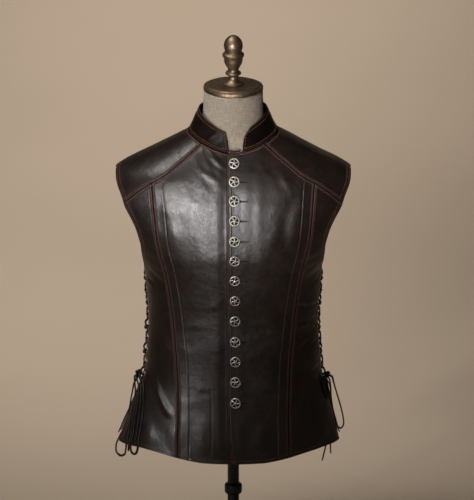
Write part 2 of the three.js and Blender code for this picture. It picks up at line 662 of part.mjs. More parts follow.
const buttonProfile = [[0, 0], [BUTTON.radius, 0], [BUTTON.radius, BUTTON.edge], [8.6, 3], [0, BUTTON.crown]];
buttonHeights.forEach((z, i) => {
  const { point, normal } = spotAt(LEFT, buttonX(z), z, FRONT, BUTTON.lift);
  const button = add(`button_${String(i + 1).padStart(2, '0')}`,
    new THREE.LatheGeometry(buttonProfile.map(([r, h]) => new THREE.Vector2(r, h)), 12), 'silver');
  button.position.copy(point);
  button.quaternion.setFromUnitVectors(new THREE.Vector3(0, 1, 0), normal);
});

// ---- dress form and stand

const formAt = Object.fromEntries(
  ['half', 'front', 'back', 'round'].map((key) => [key, curve(formSections, 'z', key)]));
function formRing(z) {
  const power = 2 / formAt.round(z);
  return Array.from({ length: FORM_SIDES }, (_, i) => {
    const angle = (2 * Math.PI * i) / FORM_SIDES;
    const across = Math.sin(angle);
    const along = -Math.cos(angle);
    const depth = along < 0 ? formAt.front(z) : formAt.back(z);
    return new THREE.Vector3(
      formAt.half(z) * Math.sign(across) * Math.abs(across) ** power,
      depth * Math.sign(along) * Math.abs(along) ** power, z + HEM);
  });
}
add('form_body', skin(FORM_RINGS.map(formRing)), 'linen');

// A turned piece: radius and height pairs from the axis at its foot to the axis at its top.
function turned(profile, height, sides) {
  const geometry = new THREE.LatheGeometry(profile.map(([r, z]) => new THREE.Vector2(r, z)), sides);
  return geometry.rotateX(Math.PI / 2).translate(0, 0, height);
}
const capFoot = NECK_TOP + HEM + CAP.gap;
add('neck_cap', turned([
  [0, 0], [CAP.radius - 1, 0], [CAP.radius, 1.5], [CAP.radius, 7], [CAP.radius - 2, 8.5],
  [CAP.radius - 5, 9], [CAP.radius - 7, CAP.height], [0, CAP.height],
], capFoot, 28), 'bronze');
add('finial', turned([[0, 0], ...finialProfile.map(({ r, z }) => [r, z]), [0, FINIAL_TOP]],
  capFoot + CAP.height + CAP.gap, 16), 'bronze');

const formFoot = FORM_RINGS[0] + HEM;
const collarFootHeight = HEM + POLE_COLLAR.top - POLE_COLLAR.height;
add('base', turned([
  [0, 0], [BASE.radius, 0], [BASE.radius, BASE.rim], [BASE.radius - 4, BASE.shoulder],
  [60, 20], [BASE.boss, 26], [POLE_COLLAR.neck + 3, BASE.height], [0, BASE.height],
], 0, 32), 'iron');
add('pole_lower', turned([[0, 0], [POLE_RADIUS, 0], [POLE_RADIUS, collarFootHeight - BASE.height - 2 * SEAM],
  [0, collarFootHeight - BASE.height - 2 * SEAM]], BASE.height + SEAM, 14), 'iron');
add('pole_collar', turned([
  [0, 0], [POLE_COLLAR.neck, 0], [POLE_COLLAR.radius, 4], [POLE_COLLAR.radius, POLE_COLLAR.height - 3],
  [POLE_COLLAR.neck + 1, POLE_COLLAR.height], [0, POLE_COLLAR.height],
], collarFootHeight, 16), 'iron');
const poleFoot = collarFootHeight + POLE_COLLAR.height + SEAM;
add('pole', turned([[0, 0], [POLE_RADIUS, 0], [POLE_RADIUS, formFoot - SEAM - poleFoot],
  [0, formFoot - SEAM - poleFoot]], poleFoot, 14), 'iron');

// ---- side lacing

// A round cord through the points: eight sides, turned along with the path so that it never twists.
function cord(points, diameter = LACE) {
  const sides = 8;
  const directions = points.map((p, i) => {
    const before = i > 0 ? p.clone().sub(points[i - 1]).normalize() : new THREE.Vector3();
    const after = i + 1 < points.length ? points[i + 1].clone().sub(p).normalize() : new THREE.Vector3();
    return before.add(after).normalize();
  });
  let across = new THREE.Vector3(0, 1, 0).cross(directions[0]);
  if (across.length() < 0.1) across = new THREE.Vector3(1, 0, 0).cross(directions[0]);
  const rings = points.map((p, i) => {
    across.addScaledVector(directions[i], -across.dot(directions[i])).normalize();
    const other = directions[i].clone().cross(across);
    return Array.from({ length: sides }, (_, s) => {
      const angle = (2 * Math.PI * s) / sides;
      return p.clone().addScaledVector(across, Math.cos(angle) * diameter / 2)
        .addScaledVector(other, Math.sin(angle) * diameter / 2);
    });
  });
  return skin(rings);
}

const OVER = LACE_CLEAR + LACE / 2;                 // centre of a lace that lies on the leather
const UNDER = -(LEATHER + LACE_CLEAR + LACE / 2);   // and of one that runs behind it
const knots = {
  [RIGHT]: { x: -189.5, y: -5, z: 151 },
  [LEFT]: { x: 187.5, y: -5, z: 147 },
};
const KNOT = { radius: 8, clear: 0.35 };
const knotPoint = (side) => new THREE.Vector3(knots[side].x, knots[side].y, knots[side].z + HEM);

// Where the two strands cross in the gap, as lifts from the outer face, and half the width of the crossing.
const CROSSING = { over: 1.5, under: -2.9, reach: 4 };

// One strand from the bar between the top eyelets, criss-cross down to the last eyelet and the knot.
// It comes up through each eyelet, crosses the gap and dips behind the other edge.
function strandPath(side, startFacing, passing) {
  const place = (reach, z, lift) => spotBeside(side, reach, z, lift).point;
  const path = [place(startFacing * 2 * SEAM, EYELET.top, UNDER)];
  let facing = startFacing;
  eyeletHeights.forEach((z, row) => {
    const edge = laceReach[FRONT](z);
    const hole = edge + EYELET.inset + 0.4;
    path.push(place(facing * hole, z + 0.8, UNDER + 0.4));
    path.push(place(facing * hole, z - 0.8, OVER - 0.4));
    if (row + 1 < EYELET.count) {
      const drop = (share) => z - EYELET.pitch * share;
      path.push(place(facing * edge, drop(0.24), OVER + 0.3));
      path.push(place(facing * CROSSING.reach, drop(0.42), CROSSING[passing]));
      path.push(place(-facing * CROSSING.reach, drop(0.58), CROSSING[passing]));
      path.push(place(-facing * edge, drop(0.76), UNDER - 0.5));
      facing = -facing;
    }
  });
  const knot = knotPoint(side);
  const towards = path[path.length - 1].clone().sub(knot).normalize();
  path.push(knot.clone().addScaledVector(towards, KNOT.radius + KNOT.clear));
  return path;
}
for (const side of [RIGHT, LEFT]) {
  add(`lacing_${sideName[side]}_a`, cord(strandPath(side, FRONT, 'over')), 'lace');
  add(`lacing_${sideName[side]}_b`, cord(strandPath(side, BACK, 'under')), 'lace');
  const knot = add(`knot_${sideName[side]}`, new THREE.SphereGeometry(KNOT.radius, 10, 8), 'lace');
  knot.position.copy(knotPoint(side));
}

// ---- loose laces: two loops and two tails hang from each knot

// Where a lace leaves its knot: degrees from straight down, then from outwards round to the front.
const knotExit = (side, { tilt, swing }, reach) => {
  const [down, round] = [degToRad(tilt), degToRad(swing)];
  const direction = new THREE.Vector3(
    side * Math.sin(down) * Math.cos(round), -Math.sin(down) * Math.sin(round), -Math.cos(down));
  return knotPoint(side).addScaledVector(direction, reach);
};
// A point of a route: in the open where it has an "out", or else lifted off the leather by its "lift".
const routePoint = (side, { out, y, z, lift }) => (out === undefined
  ? spotBeside(side, y, z, lift).point
  : new THREE.Vector3(side * out, y, z + HEM));

const KNOT_EXIT = [KNOT.radius + 0.95, KNOT.radius + 3.4];   // a lace's first two points from the centre
const LACE_STEP = 11;
for (const { name, side, from, to, route } of looseLaces) {
  const points = [...KNOT_EXIT.map((reach) => knotExit(side, from, reach)),
    ...route.map((row) => routePoint(side, row)),
    ...(to ? KNOT_EXIT.map((reach) => knotExit(side, to, reach)).reverse() : [])];
  const smooth = new THREE.CatmullRomCurve3(points, false, 'centripetal');
  add(name, cord(smooth.getSpacedPoints(Math.ceil(smooth.getLength() / LACE_STEP))), 'lace');
}

export default vest;
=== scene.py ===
# %% [markdown]
# # A side-laced leather vest on a counter-top dress form
# The vest is cut from cowhide about 2 mm thick, sewn with reddish thread, buttoned down the front and
# laced down both sides. It hangs on a linen-covered form with a turned bronze cap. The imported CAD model
# is a fixed frame that says where each piece is. This lesson dresses it: each panel is cut again as a
# fine shell on the same form, with the folds, seams, stitches and finishes of the real one.

# %% Load the frame
import math

import bpy
import numpy as np
from mathutils import Matrix, Vector


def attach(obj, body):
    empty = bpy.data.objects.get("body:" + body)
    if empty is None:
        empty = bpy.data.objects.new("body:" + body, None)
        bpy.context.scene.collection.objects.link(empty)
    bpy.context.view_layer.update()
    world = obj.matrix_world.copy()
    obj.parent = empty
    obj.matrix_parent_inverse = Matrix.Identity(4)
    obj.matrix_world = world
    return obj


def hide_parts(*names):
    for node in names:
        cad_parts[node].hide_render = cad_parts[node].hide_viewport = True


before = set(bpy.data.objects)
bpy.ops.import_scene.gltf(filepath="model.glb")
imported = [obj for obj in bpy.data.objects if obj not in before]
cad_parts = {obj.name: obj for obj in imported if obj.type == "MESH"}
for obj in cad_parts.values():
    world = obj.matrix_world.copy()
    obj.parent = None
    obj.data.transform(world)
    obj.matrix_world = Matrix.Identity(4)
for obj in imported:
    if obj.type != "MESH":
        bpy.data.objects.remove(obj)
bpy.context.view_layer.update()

bpy.ops.object.select_all(action="DESELECT")
scene = bpy.context.scene
print("nodes in the frame:", len(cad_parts))

# %% [markdown]
# ## The camera
# The camera stands well back and has a long lens. It looks down a little on the vest, whose sides so
# stay straight. The lens, the distance and the rise are all that the view needs.

# %% Place the camera
CAMERA_AIM = Vector((0.0074, 0.0, 0.648))
CAMERA_DISTANCE = 24.0
CAMERA_RISE = math.radians(18.5)
CAMERA_LENS = 864
towards_camera = Vector((0, -math.cos(CAMERA_RISE), math.sin(CAMERA_RISE)))
camera_data = bpy.data.cameras.new("camera")
camera_data.lens = CAMERA_LENS
camera = bpy.data.objects.new("camera", camera_data)
scene.collection.objects.link(camera)
camera.location = CAMERA_AIM + towards_camera * CAMERA_DISTANCE
camera.rotation_euler = towards_camera.to_track_quat("Z", "Y").to_euler()
scene.camera = camera
print("camera at", [round(c, 2) for c in camera.location])

# %% [markdown]
# ## The worn shape
# A pattern cutter measures a body by sections: half widths and depths at a row of heights. The vest's
# outer face is a rounded box section at each height, joined up by smooth curves. Sizes are in
# millimetres, heights are above the middle of the front hem, and "out" is the distance from the middle
# towards one side. The wearer's left is +X and the front faces -Y.

# %% Tables of the worn shape
HEM = 240.0          # the middle of the front hem above the floor
LEATHER = 2.0
SEAM = 0.3
ROUND = 2.3          # power of the rounded sections
LEFT, RIGHT = 1, -1
FRONT, BACK = -1, 1
SIDE_NAMES = {LEFT: "left", RIGHT: "right"}
FACING_NAMES = {FRONT: "front", BACK: "back"}


def table(names, rows):
    """Names the columns of a short table."""
    return {name: np.array(column, float) for name, column in zip(names.split(), zip(*rows))}


SECTIONS = table("z half flare front back", [
    (-10, 222, 20, 136, 131), (0, 219.5, 19, 135, 130), (35, 211, 15, 131.5, 125),
    (71, 201.5, 9, 127, 119), (108, 191, 4, 121, 112), (153, 178.5, 1, 115, 105),
    (190, 175.5, 0, 111.5, 99), (225, 172.5, 0, 110, 95.5), (262, 170.5, 0, 109, 95),
    (300, 171.5, 0, 110, 98), (340, 174.5, 0, 114, 104), (376, 177.5, 0, 119, 111),
    (400, 188.5, 0, 122, 115), (430, 202, 0, 125, 119), (465, 222, 0, 125, 122),
    (499, 241, 0, 121.5, 123), (531, 251.5, 0, 117, 121), (560, 250, 0, 110, 115),
    (583, 235, 0, 103, 107), (609, 186, 0, 92, 98), (635, 137, 0, 78, 86),
    (650, 108.7, 0, 70, 77), (661, 88, 0, 63, 69), (672, 72, 0, 58, 64),
])
NECK_POINT_Z = 661
SHOULDER_TIP_Z = 583
ARMHOLE = table("z front back", [
    (376, 12, 12), (384, 28, 27), (400, 45, 44), (430, 62, 60), (448, 70, 68), (482, 75.5, 74),
    (531, 66, 68), (560, 50, 53), (572, 37, 39), (579, 23, 24), (583, 0, 0),
])
UNDERARM = 376
LACE_EDGE = table("z front back", [
    (0, 28, 21), (60, 21, 17), (110, 14, 13), (150, 12, 12), (376, 12, 12),
])
NECKLINE = table("turn z", [
    (0, 634.5), (10.3, 640), (33.6, 651.5), (61, 659), (90, 661), (120, 660.5), (150, 658), (180, 655),
])
YOKE_TURN = 33.6     # where the yoke's seams start on the neckline
YOKE_FRONT = table("out z", [
    (63, 651.7), (78.6, 637.6), (111.6, 611), (135.8, 592), (162.5, 576.5), (194.6, 553),
    (209.8, 538.4), (224, 525),
])
YOKE_BACK = table("out z", [
    (55, 658.8), (80, 642), (111, 621), (140, 603), (170, 583), (200, 561), (230, 538),
])
PRINCESS_FRONT = table("z out", [
    (0, 112), (108, 110.4), (195, 113.5), (264, 119.5), (318, 125.4), (392, 137), (415, 143),
    (462, 152.5), (577, 162.5),
])
PRINCESS_BACK = table("z out", [
    (0, 104), (120, 98), (262, 94), (340, 104), (430, 124), (520, 142), (597, 150),
])
HEM_FRONT = table("out z", [
    (0, 0), (60, 1.5), (80, 4), (115, 10), (140, 15), (164, 18.5), (186, 20.5), (205, 19), (240, 14),
])
HEM_BACK = table("out z", [(0, 8), (80, 9), (140, 13), (190, 17), (240, 14)])
FRONT_EDGE = table("z out", [(0, 0), (20, -2), (60, -5), (130, -7.5), (660, -8)])

# %% Curves through the tables


def curve(rows, start, end):
    """A smooth curve through a table's points that never overshoots them."""
    xs = rows[start]
    ys = rows[end]
    slopes = np.diff(ys) / np.diff(xs)
    before = slopes[:-1]
    after = slopes[1:]
    same_way = before * after > 0
    blend = 2 * before * after / np.where(same_way, before + after, 1)
    tangents = np.concatenate([slopes[:1], np.where(same_way, blend, 0), slopes[-1:]])

    def value(x):
        x = np.asarray(x, float)
        i = np.clip(np.searchsorted(xs, x) - 1, 0, len(xs) - 2)
        span = xs[i + 1] - xs[i]
        t = (x - xs[i]) / span
        inside = (1 - t) ** 2 * (1 + 2 * t) * ys[i] + t * t * (3 - 2 * t) * ys[i + 1]
        inside = inside + span * t * (1 - t) * ((1 - t) * tangents[i] - t * tangents[i + 1])
        below = ys[0] + (x - xs[0]) * tangents[0]
        above = ys[-1] + (x - xs[-1]) * tangents[-1]
        return np.where(x <= xs[0], below, np.where(x >= xs[-1], above, inside))
    return value


SOFTNESS = 6         # how far along a curve its joints are softened


def eased(rough):
    """The same curve with its joints softened, so that light runs evenly over the leather."""
    reach = 4 * SOFTNESS
    heights = np.arange(-80.0, 801.0)
    weights = np.exp(-0.5 * (np.arange(-reach, reach + 1) / SOFTNESS) ** 2)
    values = rough(np.arange(-80.0 - reach, 801.0 + reach))
    soft = np.convolve(values, weights / weights.sum(), "valid")
    return lambda z: np.interp(z, heights, soft)


def mix(a, b, share):
    return a + (b - a) * share


def ease(x, low, high):
    """0 below low and 1 above high, with a soft step between."""
    t = np.clip((np.asarray(x, float) - low) / (high - low), 0, 1)
    return t * t * (3 - 2 * t)


half = eased(curve(SECTIONS, "z", "half"))
flare = eased(curve(SECTIONS, "z", "flare"))
depth_of = {FRONT: eased(curve(SECTIONS, "z", "front")), BACK: eased(curve(SECTIONS, "z", "back"))}
armhole_reach = {FRONT: curve(ARMHOLE, "z", "front"), BACK: curve(ARMHOLE, "z", "back")}
lace_reach = {FRONT: curve(LACE_EDGE, "z", "front"), BACK: curve(LACE_EDGE, "z", "back")}
yoke_seam = {FRONT: curve(YOKE_FRONT, "out", "z"), BACK: curve(YOKE_BACK, "out", "z")}
princess = {FRONT: curve(PRINCESS_FRONT, "z", "out"), BACK: curve(PRINCESS_BACK, "z", "out")}
hem = {FRONT: curve(HEM_FRONT, "out", "z"), BACK: curve(HEM_BACK, "out", "z")}
neck_height = curve(NECKLINE, "turn", "z")
front_edge = curve(FRONT_EDGE, "z", "out")
print("chest half width", float(half(500)), "waist half width", float(half(262)))

# %% Points on the outer face


def width(side, z):
    return half(z) + np.where(np.asarray(side) < 0, flare(z), 0)


def depth(facing, z):
    return np.where(np.asarray(facing) < 0, depth_of[FRONT](z), depth_of[BACK](z))


def level(points):
    """Below 0 inside the outer face, 0 on it and above 0 outside it."""
    x, y, z = np.moveaxis(points, -1, 0)
    return (np.abs(x) / width(x, z)) ** ROUND + (np.abs(y) / depth(y, z)) ** ROUND - 1


def slope(points):
    return np.stack([level(points + s) - level(points - s) for s in np.eye(3) / 2], -1)


def unit(vectors):
    return vectors / np.linalg.norm(vectors, axis=-1, keepdims=True)


def outward(points):
    return unit(slope(points))


def onto_face(points):
    """Moves points the shortest way onto the outer face."""
    for _ in range(3):
        gradient = slope(points)
        points = points - (level(points) / (gradient ** 2).sum(-1))[..., None] * gradient
    return points


def spot_at(side, out, z, facing):
    """By the distance from the middle, on the front or the back."""
    out, z = np.broadcast_arrays(np.asarray(out, float), np.asarray(z, float))
    y = depth(facing, z) * (1 - np.clip(np.abs(out) / width(side, z), 0, 1) ** ROUND) ** (1 / ROUND)
    return np.stack([side * out, facing * y, z], -1)


def spot_turned(side, turn, z):
    """By its turn: 0 at the front middle, 90 degrees at the side and 180 at the back middle."""
    turn, z = np.broadcast_arrays(np.asarray(turn, float), np.asarray(z, float))
    angle = np.radians(turn)
    facing = np.where(turn < 90, FRONT, BACK)
    out = width(side, z) * np.abs(np.sin(angle)) ** (2 / ROUND)
    y = facing * depth(facing, z) * np.abs(np.cos(angle)) ** (2 / ROUND)
    return np.stack([side * out, y, z], -1)


def spot_beside(side, y, z):
    """Near the side, by the distance from the shoulder ridge's plane."""
    y, z = np.broadcast_arrays(np.asarray(y, float), np.asarray(z, float))
    out = width(side, z) * (1 - (np.abs(y) / depth(y, z)) ** ROUND) ** (1 / ROUND)
    return np.stack([side * out, y, z], -1)


def turn_of_out(side, out, z, facing):
    turn = np.degrees(np.arcsin(np.minimum(1, np.abs(out) / width(side, z)) ** (ROUND / 2)))
    return turn if facing == FRONT else 180 - turn


def turn_of_reach(reach, z, facing):
    turn = np.degrees(np.arccos(np.minimum(1, reach / depth(facing, z)) ** (ROUND / 2)))
    return turn if facing == FRONT else 180 - turn


def edge_reach(facing, z):
    above = armhole_reach[facing](z)
    below = lace_reach[facing](z)
    return np.maximum(0, np.where(np.asarray(z) > UNDERARM, above, below))


def in_metres(points):
    """From millimetres above the hem to metres above the floor."""
    return (np.asarray(points, float) + (0, 0, HEM)) / 1000


# %% [markdown]
# ## The laces that hang free
# After the last eyelet each lace is tied in a knot at the top of the side vent, with two loops and two
# tails below it. A limp cord hangs by its weight and lies along whatever it touches, so each route is
# given as points in the air or on the leather, and one smooth curve runs through them.

# %% Routes of the loose laces
LACE = 3.9
KNOTS = {RIGHT: (-189.5, -5, 151), LEFT: (187.5, -5, 147)}


def air(out, y, z):
    """A point that hangs free."""
    return lambda side: np.array([side * out, y, z], float)


def lying(y, z, lift):
    """A point that lies on the leather or just off it."""
    def place(side):
        point = spot_beside(side, y, z)
        return point + outward(point) * lift
    return place


LOOSE_LACES = {
    "loop_right_1": dict(side=RIGHT, leaves=(20, -40), returns=(50, 10), length=385, route=[
        air(199, -4, 128), air(203, -5, 108), air(207, -6, 86), air(211, -8, 62), air(219, -10, 38),
        air(229, -13, 17), air(235.5, -17, 1), air(235, -23, -11), air(227, -33, -16),
        air(218.5, -46, -9), air(216, -59.5, 4), lying(-61.5, 26, 3), lying(-55.5, 43, 2.5),
        lying(-45, 65, 2.5), lying(-31, 86, 2.5), lying(-14, 110, 3.2)]),
    "tail_right_1": dict(side=RIGHT, leaves=(38, 55), length=160, route=[
        lying(-21, 124, 3.5), lying(-28, 110, 2.7), lying(-41.5, 89, 2.5), lying(-52.5, 67, 2.5),
        lying(-61.5, 45, 2.5), lying(-67.5, 26, 2.6), air(210.5, -69.5, 6.5)]),
    "loop_right_2": dict(side=RIGHT, leaves=(75, 55), returns=(70, 92), length=355, route=[
        lying(-27, 128, 6), lying(-36, 112, 3), lying(-48, 91, 2.5), lying(-58, 69, 2.5),
        lying(-66.5, 47, 2.5), lying(-71.5, 27.5, 2.6), air(206, -75, 13), air(202.5, -78.5, 5),
        air(196.5, -82.5, 4.5), air(192.5, -86, 13), lying(-84.5, 27, 2.6), lying(-80.5, 41, 2.5),
        lying(-75.5, 64.5, 2.5), lying(-65, 92.5, 2.5), lying(-51, 119.5, 2.5), lying(-35, 136, 2.7)]),
    "tail_right_2": dict(side=RIGHT, leaves=(45, 115), length=145, route=[
        lying(-22, 133, 2.6), lying(-44, 115, 2.5), lying(-56, 94, 2.5), lying(-65.5, 72, 2.5),
        lying(-72, 52.5, 2.5), lying(-77, 30, 2.5)]),
    "loop_left_1": dict(side=LEFT, leaves=(70, 10), returns=(30, 20), length=240, route=[
        air(201.5, -7, 130), air(209, -7, 103), air(216, -7, 78), air(221, -7.5, 54),
        air(221.5, -8, 42), air(216.5, -7, 33), air(209.5, -5, 36), air(204.5, -4, 54),
        air(199.5, -3.5, 76), air(196.5, -3, 98), air(195.5, -3.5, 119)]),
    "tail_left_1": dict(side=LEFT, leaves=(25, -100), length=170, route=[
        air(194, 3.5, 120), air(196, 4, 100), air(196.5, 4, 75), air(196, 3.5, 40), air(195, 3, 8),
        air(196, 3, -24)]),
    "loop_left_2": dict(side=LEFT, leaves=(85, 85), returns=(75, 120), length=115, route=[
        lying(-28, 137, 3.2), lying(-33.5, 124, 2.6), lying(-33, 112, 2.6), lying(-27, 105.5, 2.7),
        lying(-21.5, 111, 2.7), lying(-20.5, 123, 2.7), lying(-20, 134, 2.8)]),
    "tail_left_2": dict(side=LEFT, leaves=(40, 100), length=185, route=[
        air(187.5, -13, 132), air(192.5, -14, 112), air(194.5, -11, 98), air(194, -8.5, 80),
        air(192.5, -8, 60), air(191.5, -8, 40), air(189.5, -8, 20), air(185.5, -8.5, -5),
        air(178.5, -9, -36)]),
}


def knot_exit(side, way, reach):
    """Where a lace leaves its knot: degrees from straight down, then from outwards round to the front."""
    down, round_ = np.radians(way)
    direction = (side * math.sin(down) * math.cos(round_), -math.sin(down) * math.sin(round_),
                 -math.cos(down))
    return np.array(KNOTS[side], float) + np.array(direction) * reach


# %% A smooth curve, a round cord and a flat lace
STRIP = dict(half_wide=2.5, half_thick=1.5)


def smooth_route(points, step):
    """Evenly spaced points on a smooth curve that runs through all the points."""
    points = np.asarray(points, float)
    first = 2 * points[0] - points[1]
    last = 2 * points[-1] - points[-2]
    row = np.vstack([first, points, last])
    line = []
    for p0, p1, p2, p3 in zip(row, row[1:], row[2:], row[3:]):
        d0, d1, d2 = (np.linalg.norm(b - a) ** 0.5 for a, b in ((p0, p1), (p1, p2), (p2, p3)))
        t1 = ((p1 - p0) / d0 - (p2 - p0) / (d0 + d1) + (p2 - p1) / d1) * d1
        t2 = ((p2 - p1) / d1 - (p3 - p1) / (d1 + d2) + (p3 - p2) / d2) * d1
        t = np.linspace(0, 1, 24, endpoint=False)[:, None]
        line.append(p1 + t * t1 + t ** 2 * (3 * (p2 - p1) - 2 * t1 - t2)
                    + t ** 3 * (2 * (p1 - p2) + t1 + t2))
    line = np.vstack(line + [points[-1:]])
    return evenly(line, step)


def arc(line):
    """The distance along a line of points, from its start to each of them."""
    return np.concatenate([[0], np.cumsum(np.linalg.norm(np.diff(line, axis=0), axis=1))])


def evenly(line, step, start=0.0, end=0.0):
    """Points a step apart along a line, without a length at its start and at its end."""
    along = arc(line)
    count = max(2, round((along[-1] - start - end) / step) + 1)
    wanted = np.linspace(start, along[-1] - end, count)
    return np.stack([np.interp(wanted, along, line[:, k]) for k in range(3)], -1)


def ring_faces(count, sides):
    """Faces between each ring of points and the next one, then a cap at the start and at the end."""
    index = np.arange(count * sides).reshape(count, sides)
    beside = np.roll(index, -1, axis=1)
    quads = np.stack([index[:-1], beside[:-1], beside[1:], index[1:]], -1).reshape(-1, 4)
    return quads.tolist() + [index[0][::-1].tolist(), index[-1].tolist()]


def tube(line, radius, sides):
    """Rings round a line of centres, turned along with it so that the cord never twists."""
    line = np.asarray(line, float)
    return ringed(line, np.broadcast_to(radius, len(line)), 1.0, 1.0, sides, None)


def strip(line, size, facing, sides=12):
    """A flat lace along a line of centres: its broad side turns towards the directions in facing."""
    line = np.asarray(line, float)
    size = np.broadcast_to(size, len(line))
    return ringed(line, size, STRIP["half_wide"], STRIP["half_thick"], sides, facing)


def ringed(line, size, wide, thick, sides, facing):
    """Rings of points along a line, round ones or, where a facing is given, squared and turned to it."""
    ahead = unit(np.gradient(line, axis=0))
    across = np.cross(ahead[0], (0, 1, 0) if abs(ahead[0][1]) < 0.9 else (1, 0, 0))
    angles = np.linspace(0, 2 * np.pi, sides, endpoint=False)[:, None]
    squared = 1.0 if facing is None else 0.65
    wave = np.cos(angles)
    rise = np.sin(angles)
    wave = np.sign(wave) * np.abs(wave) ** squared * wide
    rise = np.sign(rise) * np.abs(rise) ** squared * thick
    rings = []
    for i, (centre, direction) in enumerate(zip(line, ahead)):
        if facing is not None:
            wanted = np.cross(direction, facing[i])
            across = across + 0.35 * wanted * (1 if wanted.dot(across) >= 0 else -1)
        across = unit(across - direction * across.dot(direction))
        rings.append(centre + size[i] * (wave * across + rise * np.cross(direction, across)))
    return np.vstack(rings), ring_faces(len(line), sides)


def joined(parts):
    """Several meshes as one: their points, and their faces renumbered to match."""
    points, faces, start = [], [], 0
    for some_points, some_faces in parts:
        points.append(some_points)
        faces += [[start + i for i in face] for face in some_faces]
        start += len(some_points)
    return np.vstack(points), faces


def new_piece(name, points, faces, finish, values=None):
    """A mesh piece from points in millimetres above the hem, smooth shaded, with its finish."""
    mesh = bpy.data.meshes.new(name)
    mesh.from_pydata(in_metres(points).tolist(), [], [list(face) for face in faces])
    mesh.polygons.foreach_set("use_smooth", [True] * len(mesh.polygons))
    for key, column in (values or {}).items():
        attribute = mesh.attributes.new(key, "FLOAT", "POINT")
        attribute.data.foreach_set("value", np.asarray(column, np.float32))
    mesh.materials.append(finish)
    mesh.update()
    piece = bpy.data.objects.new(name, mesh)
    scene.collection.objects.link(piece)
    return piece


def belongs(piece, node_name=None):
    """Ties a piece to the vest and, if it has one, hides its node in the frame."""
    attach(piece, "root")
    if node_name:
        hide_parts(node_name)


# %% [markdown]
# ## Finishes
# Waxed cowhide is near black with a brown warmth, cloudy, and shiny only where it faces a light. Its
# colour, its gloss and its grain each come from noise at their own size. Seams and edges are burnished
# browner and painted lighter on their ridges and rims as a highlight, with painted shade in their
# grooves; each panel carries its distance to them, so the finish can follow the real seams.

# %% Helpers for finishes


def finish_named(name):
    material = bpy.data.materials.new(name)
    material.use_nodes = True
    return material, material.node_tree, material.node_tree.nodes["Principled BSDF"]


def node(tree, kind, inputs=None, **settings):
    """Adds a shader node, sets it, and links or fills its inputs."""
    new = tree.nodes.new("ShaderNode" + kind)
    for key, value in settings.items():
        setattr(new, key, value)
    for key, value in (inputs or {}).items():
        if isinstance(value, bpy.types.NodeSocket):
            tree.links.new(value, new.inputs[key])
        else:
            new.inputs[key].default_value = value
    return new


def noise(tree, place, scale, detail, rough=0.5):
    made = node(tree, "TexNoise", {"Vector": place, "Scale": scale, "Detail": detail, "Roughness": rough})
    return made.outputs["Fac"]


def ranged(tree, value, low, high, to_low, to_high):
    made = node(tree, "MapRange", {"Value": value, "From Min": low, "From Max": high,
                                   "To Min": to_low, "To Max": to_high})
    return made.outputs["Result"]


def tinted(tree, share, first, second):
    made = node(tree, "Mix", data_type="RGBA")
    for key, value in ((0, share), (6, first), (7, second)):
        if isinstance(value, bpy.types.NodeSocket):
            tree.links.new(value, made.inputs[key])
        else:
            made.inputs[key].default_value = value if key == 0 else (*value, 1)
    return made.outputs[2]


def combined(tree, kind, first, second):
    return node(tree, "Math", {0: first, 1: second}, operation=kind).outputs[0]


def away_from(tree, value, middle):
    difference = combined(tree, "SUBTRACT", value, middle)
    return combined(tree, "ABSOLUTE", difference, 0.0)


def bumped(tree, shader, height, distance, strength, under=None):
    inputs = {"Height": height, "Distance": distance, "Strength": strength}
    if under is not None:
        inputs["Normal"] = under
    made = node(tree, "Bump", inputs)
    tree.links.new(made.outputs["Normal"], shader.inputs["Normal"])
    return made.outputs["Normal"]


# %% Leather of the vest
ROW = 5.0            # a row of stitches from its seam or edge
SECOND_ROW = 10.5
# RIDGE: where the welt top is worn brown and also painted lighter as a highlight
RIDGE = 2.7          # the worn top of a welt from its seam
